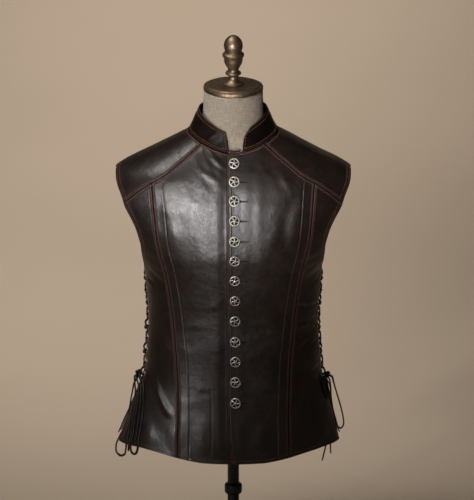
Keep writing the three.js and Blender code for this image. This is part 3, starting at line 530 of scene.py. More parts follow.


# depth scales the red patches and mottle; with it and specular lowered, the finish is a copy in painted shade
def make_leather(name, dull=0.0, specular=0.9, depth=1.0):
    """Waxed leather: painted shade in its grooves, and worn brown with a painted highlight along its ridges
    and rims.
    """
    material, tree, shader = finish_named(name)
    place = node(tree, "TexCoord").outputs["Object"]
    clouds = noise(tree, place, 11, 4, 0.6)
    mottle = noise(tree, place, 95, 6, 0.7)
    patches = noise(tree, place, 28, 5, 0.65)
    cloudy = ranged(tree, clouds, 0.35, 0.7, 0, 1)
    tone = tinted(tree, cloudy, (0.0038, 0.0025, 0.0020), (0.0078, 0.0046, 0.0034))
    tone = tinted(tree, ranged(tree, patches, 0.40, 0.68, 0, 0.8 * depth), tone, (0.0240, 0.0086, 0.0050))
    tone = tinted(tree, ranged(tree, mottle, 0.45, 0.75, 0, 0.5 * depth), tone, (0.0160, 0.0088, 0.0066))
    broken = ranged(tree, mottle, 0.3, 0.7, 0.4, 1.15)

    from_seam = node(tree, "Attribute", attribute_name="seam").outputs["Fac"]
    # welt tops: worn brown, and painted lighter as a highlight on the raised leather
    off_ridge = away_from(tree, from_seam, RIDGE)
    ridge = combined(tree, "MULTIPLY", ranged(tree, off_ridge, 0.5, 1.9, 1, 0), broken)
    tone = tinted(tree, ridge, tone, (0.044, 0.0180, 0.0120))
    # rims: worn brown, and painted lighter as a highlight on the rolled edge
    from_edge = node(tree, "Attribute", attribute_name="edge").outputs["Fac"]
    rim = combined(tree, "MULTIPLY", ranged(tree, from_edge, 0.2, 3.5, 1, 0), broken)
    tone = tinted(tree, rim, tone, (0.056, 0.0270, 0.0190))
    off_row = away_from(tree, from_seam, ROW)
    off_rim_row = away_from(tree, from_edge, ROW)
    join = ranged(tree, from_seam, 0.5, 1.6, 1, 0)
    # painted shade: the join and the stitch rows are darker, as shade falls in their grooves
    groove = combined(tree, "MAXIMUM", join, ranged(tree, off_row, 0.3, 1.1, 1, 0))
    groove = combined(tree, "MAXIMUM", groove, ranged(tree, off_rim_row, 0.3, 1.1, 1, 0))
    tone = tinted(tree, groove, tone, (0.0050, 0.0024, 0.0020))
    tree.links.new(tone, shader.inputs["Base Color"])

    gloss = combined(tree, "ADD", ranged(tree, mottle, 0.3, 0.7, 0.30 + dull, 0.40 + dull),
                     ranged(tree, clouds, 0.3, 0.7, -0.02, 0.06))
    gloss = combined(tree, "ADD", gloss, ranged(tree, groove, 0, 1, 0, 0.6))
    gloss = combined(tree, "ADD", gloss, ranged(tree, ridge, 0, 1, 0, 0.3))
    tree.links.new(gloss, shader.inputs["Roughness"])
    shader.inputs["Specular IOR Level"].default_value = specular
    shine = tinted(tree, ridge, (1, 1, 1), (0.62, 0.40, 0.34))
    # painted shade in the grooves' reflection: their specular tint is near black
    shine = tinted(tree, groove, shine, (0.10, 0.08, 0.07))
    tree.links.new(shine, shader.inputs["Specular Tint"])
    cells = node(tree, "TexVoronoi", {"Vector": place, "Scale": 620}, feature="DISTANCE_TO_EDGE")
    pebble = ranged(tree, cells.outputs["Distance"], 0, 0.22, 0, 1)
    wrinkle = noise(tree, place, 120, 3, 0.5)
    hide = noise(tree, place, 42, 3, 0.5)
    fine = bumped(tree, shader, pebble, 0.00004, 0.5)
    grained = bumped(tree, shader, wrinkle, 0.0005, 0.6, under=fine)
    bumped(tree, shader, hide, 0.0016, 0.5, under=grained)
    return material


leather = make_leather("waxed_leather")
# the collar's copy is painted shade: less red tone and a weaker reflection make it darker than its shape
# alone does
shaded_collar_finish = make_leather("collar_leather_painted_shade", -0.02, 0.16, 0.25)
print("leather finish made")


# %% Lace leather and thread


def make_plain(name, dark, light, scale, rough, bump, metal=0.0):
    """A finish with two tones and an uneven gloss, for small pieces."""
    material, tree, shader = finish_named(name)
    place = node(tree, "TexCoord").outputs["Object"]
    grain = noise(tree, place, scale, 5, 0.6)
    tone = tinted(tree, ranged(tree, grain, 0.3, 0.7, 0, 1), dark, light)
    tree.links.new(tone, shader.inputs["Base Color"])
    tree.links.new(ranged(tree, grain, 0.3, 0.7, rough + 0.07, rough - 0.07), shader.inputs["Roughness"])
    shader.inputs["Metallic"].default_value = metal
    bumped(tree, shader, noise(tree, place, scale * 2.5, 4, 0.6), bump, 0.6)
    return material


lace_leather = make_plain("lace_leather", (0.0075, 0.006, 0.0055), (0.018, 0.014, 0.012), 420, 0.46, 0.0003)
thread = make_plain("reddish_thread", (0.105, 0.034, 0.021), (0.230, 0.090, 0.058), 500, 0.6, 0.0002)
dark_thread = make_plain("dark_red_thread", (0.024, 0.011, 0.009), (0.060, 0.028, 0.022), 500, 0.65, 0.0002)

# %% Build the loose laces
LACE_START = (3.5, 9, 11.4)     # a lace's first points, from the middle of its knot
RING_STEP = 4.0
laces = {}
for name, lace in LOOSE_LACES.items():
    side = lace["side"]
    points = [knot_exit(side, lace["leaves"], reach) for reach in LACE_START]
    points += [place(side) for place in lace["route"]]
    looped = "returns" in lace
    if looped:
        points += [knot_exit(side, lace["returns"], reach) for reach in LACE_START[::-1]]
    line = smooth_route(points, RING_STEP)
    size = np.ones(len(line))
    if not looped:
        size[-3:] = (1, 0.92, 0.4 if name == "tail_left_2" else 0.78)
    piece = new_piece(name + "_lace", *strip(line, size, outward(line)), lace_leather)
    belongs(piece, name)
    laces[name] = dict(piece=piece, line=line, looped=looped, side=side)
    print(name, "is", round(arc(line)[-1]), "mm long")

# %% [markdown]
# ## The knots
# Each lace is tied in an overhand knot round itself. A trefoil is the path of such a knot, so a tube
# along a trefoil, as thick as the lace, gives the real crossings and bulges.

# %% Tie the knots
KNOT_TURN = {RIGHT: 20, LEFT: -15}
KNOT_SPOTS = 64
KNOT_SIDES = 12
for side in (RIGHT, LEFT):
    t = np.linspace(0, 2 * np.pi, KNOT_SPOTS, endpoint=False)
    trefoil = np.stack([np.sin(t) + 2 * np.sin(2 * t), -1.05 * np.sin(3 * t),
                        np.cos(t) - 2 * np.cos(2 * t)], -1) * (1.95, 2.3, 2.1)
    turn = np.array(Matrix.Rotation(math.radians(KNOT_TURN[side]), 3, "Z"))
    ring = trefoil @ turn.T + KNOTS[side]
    points = tube(np.vstack([ring, ring[:2]]), LACE / 2 + 0.1, KNOT_SIDES)[0][:KNOT_SPOTS * KNOT_SIDES]
    faces = ring_faces(KNOT_SPOTS, KNOT_SIDES)[:-2]
    # the last ring of the trefoil is joined to the first one by their nearest points
    last = len(points) - KNOT_SIDES
    shift = int(np.argmin(np.linalg.norm(points[last:] - points[0], axis=1)))
    for s in range(KNOT_SIDES):
        a = last + (s + shift) % KNOT_SIDES
        b = last + (s + 1 + shift) % KNOT_SIDES
        faces.append([a, b, (s + 1) % KNOT_SIDES, s])
    knot = new_piece(f"knot_{SIDE_NAMES[side]}_tied", points, faces, lace_leather)
    belongs(knot, f"knot_{SIDE_NAMES[side]}")

for name, lace in laces.items():
    route = in_metres(lace["line"])
    tuple(route[0])

# %% [markdown]
# ## How the leather is worked
# A shell that follows its sections exactly looks like plastic. Real leather is uneven: it has folds
# where the body bends, a raised welt where a seam's allowance lies beneath, and a groove where the
# thread pulls it in. All of it is one height above the plain face, worked out at any point, so that
# panels, stitches, eyelets and buttons agree about where the leather is.

# %% Distance from a path


def within(points, path, reach):
    """Which points lie in the box round a path."""
    inside = (points > path.min(0) - reach) & (points < path.max(0) + reach)
    return np.flatnonzero(np.all(inside, axis=1))


def nearest(points, normals, path, reach):
    """Each point's distance to a path, its side of it, and its share of the way along it."""
    far = np.full(len(points), np.inf)
    sides = np.zeros(len(points))
    share = np.zeros(len(points))
    along = arc(path)
    close = within(points, path, reach)
    group = 6
    for first in range(0, len(path) - 1, group):
        part = path[first:first + group + 1]
        here = close[within(points[close], part, reach)]
        if not len(here):
            continue
        q = points[here]
        for k in range(len(part) - 1):
            step = part[k + 1] - part[k]
            size = np.linalg.norm(step)
            t = np.clip((q - part[k]) @ step / size ** 2, 0, 1)
            away = q - part[k] - t[:, None] * step
            distance = np.linalg.norm(away, axis=1)
            better = distance < far[here]
            found = here[better]
            far[found] = distance[better]
            facing = np.einsum("ij,ij->i", np.cross(step, normals[found]), away[better])
            sides[found] = np.sign(facing)
            share[found] = (along[first + k] + t[better] * size) / along[-1]
    return far, sides, share


def hill(distance, wide):
    return np.exp(-(distance / wide) ** 2)


# %% [markdown]
# ### Folds
# Each fold is a short soft ridge or trough that bends a little between its two ends, and fades out at
# both. High is its height in millimetres, below 0 for a trough, and a fold of the opposite kind, half
# as strong, lies along one side of it. The rows are for the front, the back and the sides.

# %% Tables of folds
# x and z of the two ends, how far its middle bows, its width and height; x is + on the wearer's left
FRONT_FOLDS = table("x0 z0 x1 z1 bow wide high", [
    (-51, 641, -16, 609, -3, 3.8, 1.9), (-43, 644, -20, 624, -2, 3.4, -1.2),
    (-79, 614, -46, 590, 2, 3.8, 1.7), (-75, 629, -54, 598, 2, 4.2, -1.9),
    (-59, 648, -51, 630, 0, 3.2, -1.6), (-53, 628, -38, 607, 2, 3.2, -0.9),
    (-45, 610, -28, 584, 2, 4.5, -1.0), (-62, 588, -46, 568, 3, 5, -0.8),
    (-83, 578, -76, 546, 2, 6, -0.4), (-96, 590, -84, 574, 1, 4, 0.35), (-100, 560, -66, 542, -4, 8, 0.4),
    (-40, 600, -22, 560, 4, 9, 0.5), (50, 636, 50, 430, 2, 9, 0.5), (76, 610, 50, 599, 2, 5, 0.6),
    (30, 632, 34, 606, 2, 5, -0.7), (62, 643, 54, 612, -3, 6, 0.9), (66, 622, 84, 600, -3, 8, -0.8),
    (96, 604, 118, 570, -4, 8, 0.9), (-140, 540, -118, 470, 8, 13, 1.4),
    (-120, 520, -96, 440, 8, 14, -1.3), (-78, 500, -64, 400, 6, 16, 0.9),
    (138, 540, 120, 460, -8, 12, 1.3), (116, 500, 96, 430, -6, 13, -1.2), (70, 470, 58, 380, -6, 15, 0.8),
    (-137, 403, -110, 408, -2, 4.5, -1.5), (-128, 372, -92, 384, 3, 6, 0.9),
    (132, 392, 100, 402, 2, 6, -1.0), (-104, 276, -44, 280, 4, 7.5, 0.7),
    (-112, 252, -66, 244, -4, 9, -0.5), (-75, 147, -44, 149, 3, 6, 0.35), (-60, 318, -24, 326, 3, 8, 0.7),
    (40, 286, 96, 278, 4, 8, 0.9), (52, 256, 104, 262, -3, 7, -0.8), (60, 158, 96, 150, -3, 7, 0.7),
    (28, 214, 62, 220, 3, 8, 0.6), (-156, 162, -121, 88, -6, 7.0, 5.4),
    (-166, 128, -136, 52, -6, 15, -2.4), (-176, 62, -168, 26, 2, 17, 1.9),
    (-128, 70, -120, 22, 3, 10, 1.0), (-96, 84, -88, 24, 4, 15, -1.0), (-62, 96, -52, 20, -4, 16, 0.9),
    (150, 152, 122, 80, 6, 10, 1.8), (164, 124, 146, 48, 6, 14, -1.8), (176, 60, 168, 24, -2, 15, 1.3),
    (92, 88, 84, 22, -4, 15, -1.0), (44, 19, 78, 22, 3, 7, 0.9), (56, 80, 48, 30, 3, 14, 0.8),
    (-150, 300, -128, 312, 2, 3.5, -1.1), (-152, 285, -126, 284, 2, 3.5, -1.0),
    (-152, 266, -128, 255, -2, 4, -1.1), (-150, 238, -126, 222, -2, 5, 1.0),
    (-152, 330, -132, 346, 2, 4, 0.9), (-154, 200, -124, 186, -3, 7, -1.0),
    (152, 306, 128, 318, -2, 4, -1.0), (152, 276, 126, 272, 2, 4, 0.9), (152, 240, 130, 226, 2, 5, -1.0),
    (150, 204, 128, 188, 2, 6, 0.8),
])
BACK_FOLDS = table("x0 z0 x1 z1 bow wide high", [
    (-96, 590, -70, 500, 10, 15, 1.2), (92, 596, 74, 510, -10, 15, 1.1), (-40, 560, -30, 470, 6, 17, -0.9),
    (34, 566, 40, 480, -6, 16, -0.8), (-138, 540, -116, 460, 8, 12, 1.3), (136, 536, 118, 452, -8, 12, 1.3),
    (-60, 640, -30, 612, -3, 7, 1.2), (58, 642, 26, 616, 3, 7, 1.1), (-12, 630, 16, 626, 3, 7, -0.9),
    (-70, 300, -10, 292, 5, 8, 1.4), (-54, 272, 24, 266, -5, 9, -1.3), (-20, 316, 62, 308, 4, 8, 1.2),
    (-110, 286, -76, 262, 4, 8, 1.0), (108, 292, 72, 268, -4, 8, 1.1), (20, 244, 74, 250, 3, 8, 1.0),
    (-76, 240, -22, 234, 3, 9, -0.8), (-140, 408, -100, 414, 3, 6, -1.0), (138, 400, 96, 410, -3, 6, -1.1),
    (-120, 120, -104, 30, 4, 15, 1.5), (-70, 130, -64, 26, -4, 17, -1.3), (-24, 110, -20, 24, 3, 17, 1.1),
    (30, 120, 34, 22, -3, 17, -1.1), (82, 126, 90, 26, 4, 16, 1.3), (134, 120, 146, 34, 4, 14, -1.3),
    (-154, 110, -160, 40, 3, 14, -1.2), (-150, 300, -126, 312, 2, 4, -1.0),
    (-150, 262, -124, 250, -2, 4, 1.0), (150, 290, 126, 300, -2, 4, -1.0),
    (150, 244, 124, 232, 2, 5, 1.0), (-150, 210, -122, 196, -2, 6, -1.0),
])
# y and z of the two ends, y below 0 in front of the shoulder ridge
RIGHT_FOLDS = table("y0 z0 y1 z1 bow wide high", [
    (-72, 420, -104, 404, 3, 7, -1.2), (-60, 396, -92, 372, 3, 7, 1.2), (58, 398, 88, 376, -3, 7, 1.1),
    (-26, 366, -60, 360, 2, 5, -1.0), (24, 362, 58, 352, 2, 5, -0.9), (-34, 150, -70, 96, -4, 9, 1.5),
    (36, 140, 64, 70, 5, 11, 1.4), (26, 90, 40, 24, 3, 12, -1.3), (-40, 70, -52, 20, -3, 10, 1.2),
])
LEFT_FOLDS = table("y0 z0 y1 z1 bow wide high", [
    (-70, 424, -102, 412, 3, 7, -1.1), (-58, 398, -88, 380, 3, 7, 1.1), (60, 402, 90, 384, -3, 7, 1.0),
    (-26, 368, -58, 356, -2, 5, -0.9), (24, 364, 60, 358, 2, 5, -1.0), (-40, 146, -74, 84, -5, 10, 1.5),
    (34, 136, 66, 66, 4, 11, 1.4), (28, 84, 38, 26, 3, 12, -1.2), (-52, 66, -60, 22, -3, 11, -1.2),
])


def fold_paths(rows, place):
    """Each fold as a bent path on the outer face, with its width and its height."""
    paths = []
    keys = list(rows)
    for values in zip(*rows.values()):
        fold = dict(zip(keys, values))
        ends = np.array([values[:2], values[2:4]], float)
        t = np.linspace(0, 1, 11)[:, None]
        across = unit(np.array([ends[0][1] - ends[1][1], ends[1][0] - ends[0][0]]))
        flat = mix(ends[0], ends[1], t) + across * fold["bow"] * 4 * t * (1 - t)
        paths.append((place(flat[:, 0], flat[:, 1]), fold["wide"], fold["high"]))
    return paths


folds = fold_paths(FRONT_FOLDS, lambda x, z: spot_at(1, x, z, FRONT))
folds += fold_paths(BACK_FOLDS, lambda x, z: spot_at(1, x, z, BACK))
folds += fold_paths(RIGHT_FOLDS, lambda y, z: spot_beside(RIGHT, y, z))
folds += fold_paths(LEFT_FOLDS, lambda y, z: spot_beside(LEFT, y, z))

# %% Small pulls beside the eyelets
# each runs from its eyelet into the leather, a little different from the others
EYELET = dict(count=9, top=360, pitch=25.75, inset=10, hole=3.2)
eyelet_heights = EYELET["top"] - EYELET["pitch"] * np.arange(EYELET["count"])
pulls = np.random.default_rng(11)
for side in SIDE_NAMES:
    for facing in FACING_NAMES:
        for z in eyelet_heights:
            start = lace_reach[facing](z) + 15
            run = pulls.uniform(14, 34)
            rise = pulls.uniform(-9, 9)
            reach = facing * np.linspace(start, start + run, 6)
            path = spot_beside(side, reach, z + rise * np.linspace(0, 1, 6))
            folds.append((path, pulls.uniform(2.6, 4.2), pulls.uniform(-1.0, -0.35)))
print("folds laid:", len(folds))

# %% The height of the worked leather
WAVES = np.random.default_rng(5)
wave_rows = []
for length, high, count in ((210, 0.8, 5), (95, 0.3, 7), (48, 0.1, 9), (26, 0.035, 10)):
    for _ in range(count):
        way = unit(WAVES.normal(size=3)) * 2 * np.pi / length
        wave_rows.append((way, WAVES.uniform(0, 2 * np.pi), high / math.sqrt(count / 2)))


def unevenness(points):
    """Broad soft hollows and swellings all over."""
    return sum(high * np.sin(points @ way + phase) for way, phase, high in wave_rows)


def calm(points):
    """1 on open leather, and less beside the laced edges, under the buttons and over the shoulders."""
    x, y, z = points.T
    laced = np.where(z < UNDERARM, ease(np.abs(y), 14, 46), 1)
    laced = mix(laced, 1, ease(z, 370, 400))
    buttoned = ease(np.abs(x - 2), 10, 26)
    front = np.where(y < 0, buttoned, 1)
    return mix(0.25, 1, laced) * mix(0.35, 1, front)


def folded(points, normals, paths, beside_high, beside_wide):
    """Height of the folds, each with a smaller one of the opposite kind along one side."""
    high = np.zeros(len(points))
    for path, wide, rise in paths:
        distance, side, share = nearest(points, normals, path, 3.2 * wide)
        ends = np.sin(np.pi * np.clip(share, 0.001, 0.999)) ** 0.7
        offset = np.where(np.isfinite(distance), distance, 1e3) * side
        opposite = beside_high * hill(offset - 1.7 * wide, beside_wide * wide)
        high += rise * ends * (hill(offset, wide) - opposite)
    return high


def shallow(high, floor):
    """The same height, but no hollow deeper than the floor."""
    return np.where(high < 0, -floor * np.tanh(-high / floor), high)


def worn(points, normals):
    """Height of the folds and the unevenness."""
    high = (folded(points, normals, folds, 0.5, 0.9) + unevenness(points)) * calm(points)
    return shallow(high, mix(2.4, 0.7, ease(points[:, 2], 520, 570)))


# %% [markdown]
# ### Seams and finished edges
# On a seam the allowance of both pieces lies beneath and is stitched down on each side, so the leather
# stands up, dips at the two rows of thread and rolls down into the join. A finished edge is turned
# under, so it is thicker and its rim is round. Both are written as a height by distance.

# %% Profiles of seams and edges
LACE_ROWS = (4, 16.5)    # the rows of stitches beside a laced edge


def seam_form(distance):
    welt = 0.35 * (1 - ease(distance, 4.6, 8.2))
    return welt - 1.1 * hill(distance, 1.25) - 0.6 * hill(distance - ROW, 0.85)


def edge_form(distance):
    turned_under = 0.45 * (1 - ease(distance, 5.2, 7.8))
    return turned_under - 0.55 * hill(distance - ROW, 0.85)


def armhole_form(distance):
    turned_under = 0.6 * (1 - ease(distance, 11, 14.5))
    grooves = hill(distance - ROW, 0.95) + hill(distance - SECOND_ROW, 0.95)
    return turned_under - 0.5 * grooves


def laced_form(distance):
    grooves = hill(distance - LACE_ROWS[0], 0.9) + hill(distance - LACE_ROWS[1], 0.9)
    return 0.15 * (1 - ease(distance, 14, 18)) - 0.35 * grooves


def row_form(distance):
    return 0.3 * hill(distance, 3.5) - 0.8 * hill(distance, 1.0)


def rim_drop(distance, radius=1.05):
    """How far a rounded rim falls away at its very edge."""
    inside = np.clip(radius - distance, 0, radius)
    return radius - np.sqrt(radius ** 2 - inside ** 2)


# %% Paths of the seams and edges
HALVINGS = 44
HEM_ROUNDS = 8
HEM_ENDS = {LEFT: 214, RIGHT: 232}   # how far out a hem's row runs before it is cut off at the lacing


def solve(rising, low, high):
    """The value between low and high where rising(value) crosses zero."""
    low = np.asarray(low, float) + 0
    high = np.asarray(high, float) + 0
    for _ in range(HALVINGS):
        middle = (low + high) / 2
        below = rising(middle) < 0
        low = np.where(below, middle, low)
        high = np.where(below, high, middle)
    return (low + high) / 2


def hem_foot(facing, out_at):
    """The height where an upright line meets the hem."""
    z = np.zeros_like(out_at(0.0))
    for _ in range(HEM_ROUNDS):
        z = hem[facing](np.abs(out_at(z)))
    return z


yoke_end = {}
yoke_end_out = {}
yoke_start_out = {}
for facing in FACING_NAMES:
    def gap(z, facing=facing):
        return z - yoke_seam[facing](np.abs(spot_beside(LEFT, facing * armhole_reach[facing](z), z)[..., 0]))
    yoke_end[facing] = float(solve(gap, 500, 575))
    meets = spot_beside(LEFT, facing * armhole_reach[facing](yoke_end[facing]), yoke_end[facing])
    yoke_end_out[facing] = float(meets[0])
    turn = YOKE_TURN if facing == FRONT else 180 - YOKE_TURN
    yoke_start_out[facing] = float(abs(spot_turned(LEFT, turn, neck_height(turn))[0]))


def princess_top(facing):
    return float(solve(lambda z: z - yoke_seam[facing](princess[facing](z)), 540, 640))


def princess_path(side, facing):
    z = np.linspace(-2, princess_top(facing), 84)
    return spot_at(side, princess[facing](z), z, facing)


def yoke_path(side, facing):
    out = np.linspace(yoke_start_out[facing], yoke_end_out[facing], 36)
    return spot_at(side, out, yoke_seam[facing](out), facing)


def neck_path(side):
    turn = np.linspace(0, 180, 120)
    return spot_turned(side, turn, neck_height(turn))


def armhole_path(side):
    """From the underarm up the front, over the shoulder and down the back."""
    share = np.linspace(0, 1, 60)
    z = mix(UNDERARM, SHOULDER_TIP_Z, np.sin(share * np.pi / 2) ** 1.5)
    front = spot_beside(side, FRONT * np.maximum(0, armhole_reach[FRONT](z)), z)
    back = spot_beside(side, BACK * np.maximum(0, armhole_reach[BACK](z)), z)
    return np.vstack([front, back[::-1][1:]])


def lace_path(side, facing):
    z = np.linspace(12, UNDERARM, 60)
    return spot_beside(side, facing * lace_reach[facing](z), z)


def front_edge_path():
    z = np.linspace(-1, 642, 90)
    return spot_at(LEFT, front_edge(z), z, FRONT)


def hem_path(side, facing, start):
    out = np.linspace(start, HEM_ENDS[side], 60)
    points = spot_at(side, out, hem[facing](np.abs(out)), facing)
    inside = np.abs(points[:, 1]) > lace_reach[facing](points[:, 2]) - 2
    return points[inside]


print("yoke seams end at", {f: round(z) for f, z in yoke_end.items()})

# %% [markdown]
# ## The panels
# Each panel is a grid of spots on the outer face: columns from one upright edge to the other and rows
# from the hem to the top. Lines lie closer together beside the edges, where the leather rolls and dips.
# The grid is raised to the worked height, a second grid lies one leather inside it, and the two are
# joined round the rim and round each eyelet hole, which makes a closed shell.

# %% Grids and walls
EDGE_LINES = np.array([0, 0.35, 0.9, 1.7, 2.8, 3.9, 5, 6.1, 7.4, 9.2])
OPEN_STEP = 3.6
FAR = 30.0           # the distance written where no seam or edge is near


def lines_across(length, start_lines, end_lines):
    """Distances of a grid's lines: close at both edges and even between them."""
    end = length - end_lines[::-1]
    count = max(2, round((end[0] - start_lines[-1]) / OPEN_STEP))
    even = np.linspace(start_lines[-1], end[0], count + 1)[1:-1]
    return np.concatenate([start_lines, even, end])


def lay_grid(place, heights, start_lines, end_lines):
    """Rows of spots by shares of the height, with the columns at fixed distances from both edges."""
    fine = np.linspace(0, 1, 160)
    alongs = [arc(place(fine, np.full_like(fine, v))) for v in heights]
    typical = float(np.median([along[-1] for along in alongs]))
    middle = lines_across(typical, start_lines, end_lines)[len(start_lines):-len(end_lines)]
    first = start_lines[-1]
    last = end_lines[-1]
    grid = []
    for v, along in zip(heights, alongs):
        length = along[-1]
        spread = first + (middle - first) * (length - last - first) / (typical - last - first)
        wanted = np.concatenate([start_lines, spread, length - end_lines[::-1]])
        share = np.interp(wanted, along, fine)
        grid.append(place(share, np.full_like(share, v)))
    return np.array(grid)


def wall_faces(keep):
    """Faces of a closed wall over the kept cells of a grid: outer, inner, and all their rims."""
    rows, columns = keep.shape[0] + 1, keep.shape[1] + 1
    index = np.arange(rows * columns).reshape(rows, columns)
    inner = rows * columns
    a, b = index[:-1, :-1][keep], index[:-1, 1:][keep]
    c, d = index[1:, 1:][keep], index[1:, :-1][keep]
    outer_quads = np.stack([a, b, c, d], -1)
    inner_quads = outer_quads[:, ::-1] + inner
    padded_keep = np.pad(keep, 1)
    rims = []
    for (dr, dc), (r0, c0), (r1, c1) in (((-1, 0), (0, 0), (0, 1)), ((0, 1), (0, 1), (1, 1)),
                                         ((1, 0), (1, 1), (1, 0)), ((0, -1), (1, 0), (0, 0))):
        beyond = padded_keep[1 + dr:keep.shape[0] + 1 + dr, 1 + dc:keep.shape[1] + 1 + dc]
        open_r, open_c = np.nonzero(keep & ~beyond)
        start = index[open_r + r0, open_c + c0]
        end = index[open_r + r1, open_c + c1]
        rims.append(np.stack([end, start, start + inner, end + inner], -1))
    return np.vstack([outer_quads, inner_quads, *rims])


def shell(name, grid, normals, high, rim, values, keep, thickness=LEATHER, finish=leather):
    """A leather shell from a grid of spots, their outward directions and their worked heights.

    The rim says how far each spot falls away, and keep, where it's given, which cells are kept.
    """
    rows, columns = grid.shape[:2]
    if keep is None:
        keep = np.ones((rows - 1, columns - 1), bool)
    flat = grid.reshape(-1, 3)
    out = normals.reshape(-1, 3)
    high = high.reshape(-1, 1)
    drop = rim.reshape(-1, 1)
    outer = flat + out * (high - drop)
    inner = flat + out * (high - thickness + drop * 0.85)
    faces = wall_faces(keep)
    first = outer[faces[len(faces) // 8]]
    way = np.cross(first[1] - first[0], first[2] - first[0])
    if way.dot(out[faces[len(faces) // 8][0]]) < 0:
        faces = faces[:, ::-1]
    points = np.vstack([outer, inner])
    used = np.unique(faces)
    renumber = np.zeros(len(points), int)
    renumber[used] = np.arange(len(used))
    inside = np.full(len(flat), FAR)
    both = {key: np.concatenate([column, inside])[used] for key, column in values.items()}
    piece = new_piece(f"{name}_leather", points[used], renumber[faces], finish, both)
    belongs(piece, name)
    return piece


# %% How each panel is placed, worked and edged


def add_lines(points, normals, high, lines, reach=20):
    """Works the seams or edges into the height, and returns the distance to the nearest of them."""
    found = np.full(len(points), FAR)
    for path, form in lines:
        distance = nearest(points, normals, path, reach)[0]
        near = np.isfinite(distance)
        high[near] += form(distance[near])
        found[near] = np.minimum(found[near], distance[near])
    return found


class Cut:
    """One cut piece: where its spots are, what lines it is worked along, and how far it is sunk."""

    def __init__(self, name, place, seams, edges, rows=(), sink=None):
        self.name = name
        self.place = place
        self.seams = seams      # each a path and its profile
        self.edges = edges
        self.rows = rows        # paths of single rows of stitches in open leather
        self.sink = sink

    def height(self, points, normals):
        """Worked height, and the distances to the nearest seam and finished edge."""
        high = worn(points, normals)
        from_seam = add_lines(points, normals, high, self.seams)
        from_edge = add_lines(points, normals, high, self.edges)
        add_lines(points, normals, high, [(path, row_form) for path in self.rows], 12)
        if self.sink:
            high = high - self.sink(points)
        return high, from_seam, from_edge

    def skin(self, points, lift=0.0):
        """Points moved from the plain face onto the worked leather, and their outward directions."""
        normals = outward(points)
        return points + normals * (self.height(points, normals)[0] + lift)[:, None], normals


def beside(path, distance, towards):
    """A path moved sideways over the outer face, to the side where a given point lies."""
    ahead = unit(np.gradient(path, axis=0))
    across = unit(np.cross(outward(path), ahead))
    middle = len(path) // 2
    way = np.sign((np.asarray(towards, float) - path[middle]).dot(across[middle]))
    return onto_face(path + across * way * distance)


# %% Where the columns of each panel run
TAB = dict(lift=6, start=12, end=16.5)
UNDERLAP = 17
SLANT_GAP = 0.22


def centre_place(side, facing, outs, tops, start, end):
    """Spots of a panel beside the middle, by shares of its width and height."""
    shares = (outs - start(tops)) / (end(tops) - start(tops))

    def place(s, v):
        top = np.interp(s, shares, tops)

        def out_at(z):
            return mix(start(z), end(z), s)
        z = mix(hem_foot(facing, out_at), top, v)
        return spot_at(side, out_at(z), z, facing)
    return place


def neck_at(side, out, facing):
    """Height of the neckline at a distance from the middle."""
    out = np.asarray(out, float)
    return solve(lambda z: z - neck_height(turn_of_out(side, out, z, facing)),
                 np.full_like(out, 620), np.full_like(out, 664))


def top_line(side, facing, first_out):
    """Where the columns of a centre panel end: along the neckline, then under the yoke."""
    neck_outs = np.linspace(first_out, yoke_start_out[facing], 60)
    yoke_outs = np.linspace(yoke_start_out[facing], float(princess[facing](princess_top(facing))), 60)
    outs = np.concatenate([neck_outs, yoke_outs[1:]])
    under_yoke = yoke_seam[facing](yoke_outs[1:]) - SLANT_GAP
    return outs, np.concatenate([neck_at(side, neck_outs, facing), under_yoke])


def side_place(side, facing):
    """Spots of a side panel, from its princess seam to its armhole and laced edge."""
    def seam(z):
        return turn_of_out(side, princess[facing](z) + SEAM / 2, z, facing)

    def edge(z):
        return turn_of_reach(edge_reach(facing, z), z, facing)
    outs = np.linspace(float(princess[facing](princess_top(facing))), yoke_end_out[facing], 80)
    tops = yoke_seam[facing](outs)
    tops[-1] = yoke_end[facing]
    shares = (turn_of_out(side, outs, tops, facing) - seam(tops)) / (edge(tops) - seam(tops))
    shares[0] = 0
    shares = np.maximum.accumulate(np.clip(shares, 0, 1))
    shares[-1] = 1
    tops = tops - SLANT_GAP

    def place(s, v):
        top = np.interp(s, shares, tops)

        def turn_at(z):
            return mix(seam(z), edge(z), s)
        foot = hem_foot(facing, lambda z: spot_turned(side, turn_at(z), z)[..., 0])
        z = mix(foot, top, v)
        return spot_turned(side, turn_at(z), z)
    return place


# %% Points towards which rows are set, and the single rows
SINGLE_ROW = 23      # a row of stitches that follows the princess seam, nearer the middle
THIRD_ROW = 44       # a row on the right front only, from the middle
CHEST, FLANK, HIGH, single = {}, {}, {}, {}
for side in SIDE_NAMES:
    for facing in FACING_NAMES:
        CHEST[side, facing] = spot_at(side, 60.0, 400.0, facing)
        FLANK[side, facing] = spot_turned(side, 58.0 if facing == FRONT else 122.0, 300.0)
        HIGH[side, facing] = spot_at(side, 110.0, 640.0, facing)
        single[side, facing] = beside(princess_path(side, facing), SINGLE_ROW, CHEST[side, facing])
third_row_z = np.linspace(6, 360, 60)
third_row = spot_at(RIGHT, THIRD_ROW, third_row_z, FRONT)


def left_top():
    outs, tops = top_line(LEFT, FRONT, float(front_edge(640)))
    return outs, tops + TAB["lift"] * (1 - ease(outs, TAB["start"], TAB["end"]))


STEP = dict(start=3, run=24, clear=0.15, ridge=0.9, wide=1.3, inset=0.4)


def step_down(points):
    """The right front steps down by its thickness before it runs under the left one."""
    out = -points[:, 0]
    start = STEP["start"] - front_edge(points[:, 2])
    ridge = STEP["ridge"] * hill(out - start + STEP["inset"], STEP["wide"])
    return (LEATHER + SEAM + STEP["clear"]) * (1 - ease(out, start, start + STEP["run"])) - ridge


def front_line(z):
    return princess[FRONT](z) - SEAM / 2


def back_line(z):
    return princess[BACK](z) - SEAM / 2


def middle_line(z):
    return 0 * np.asarray(z, float)


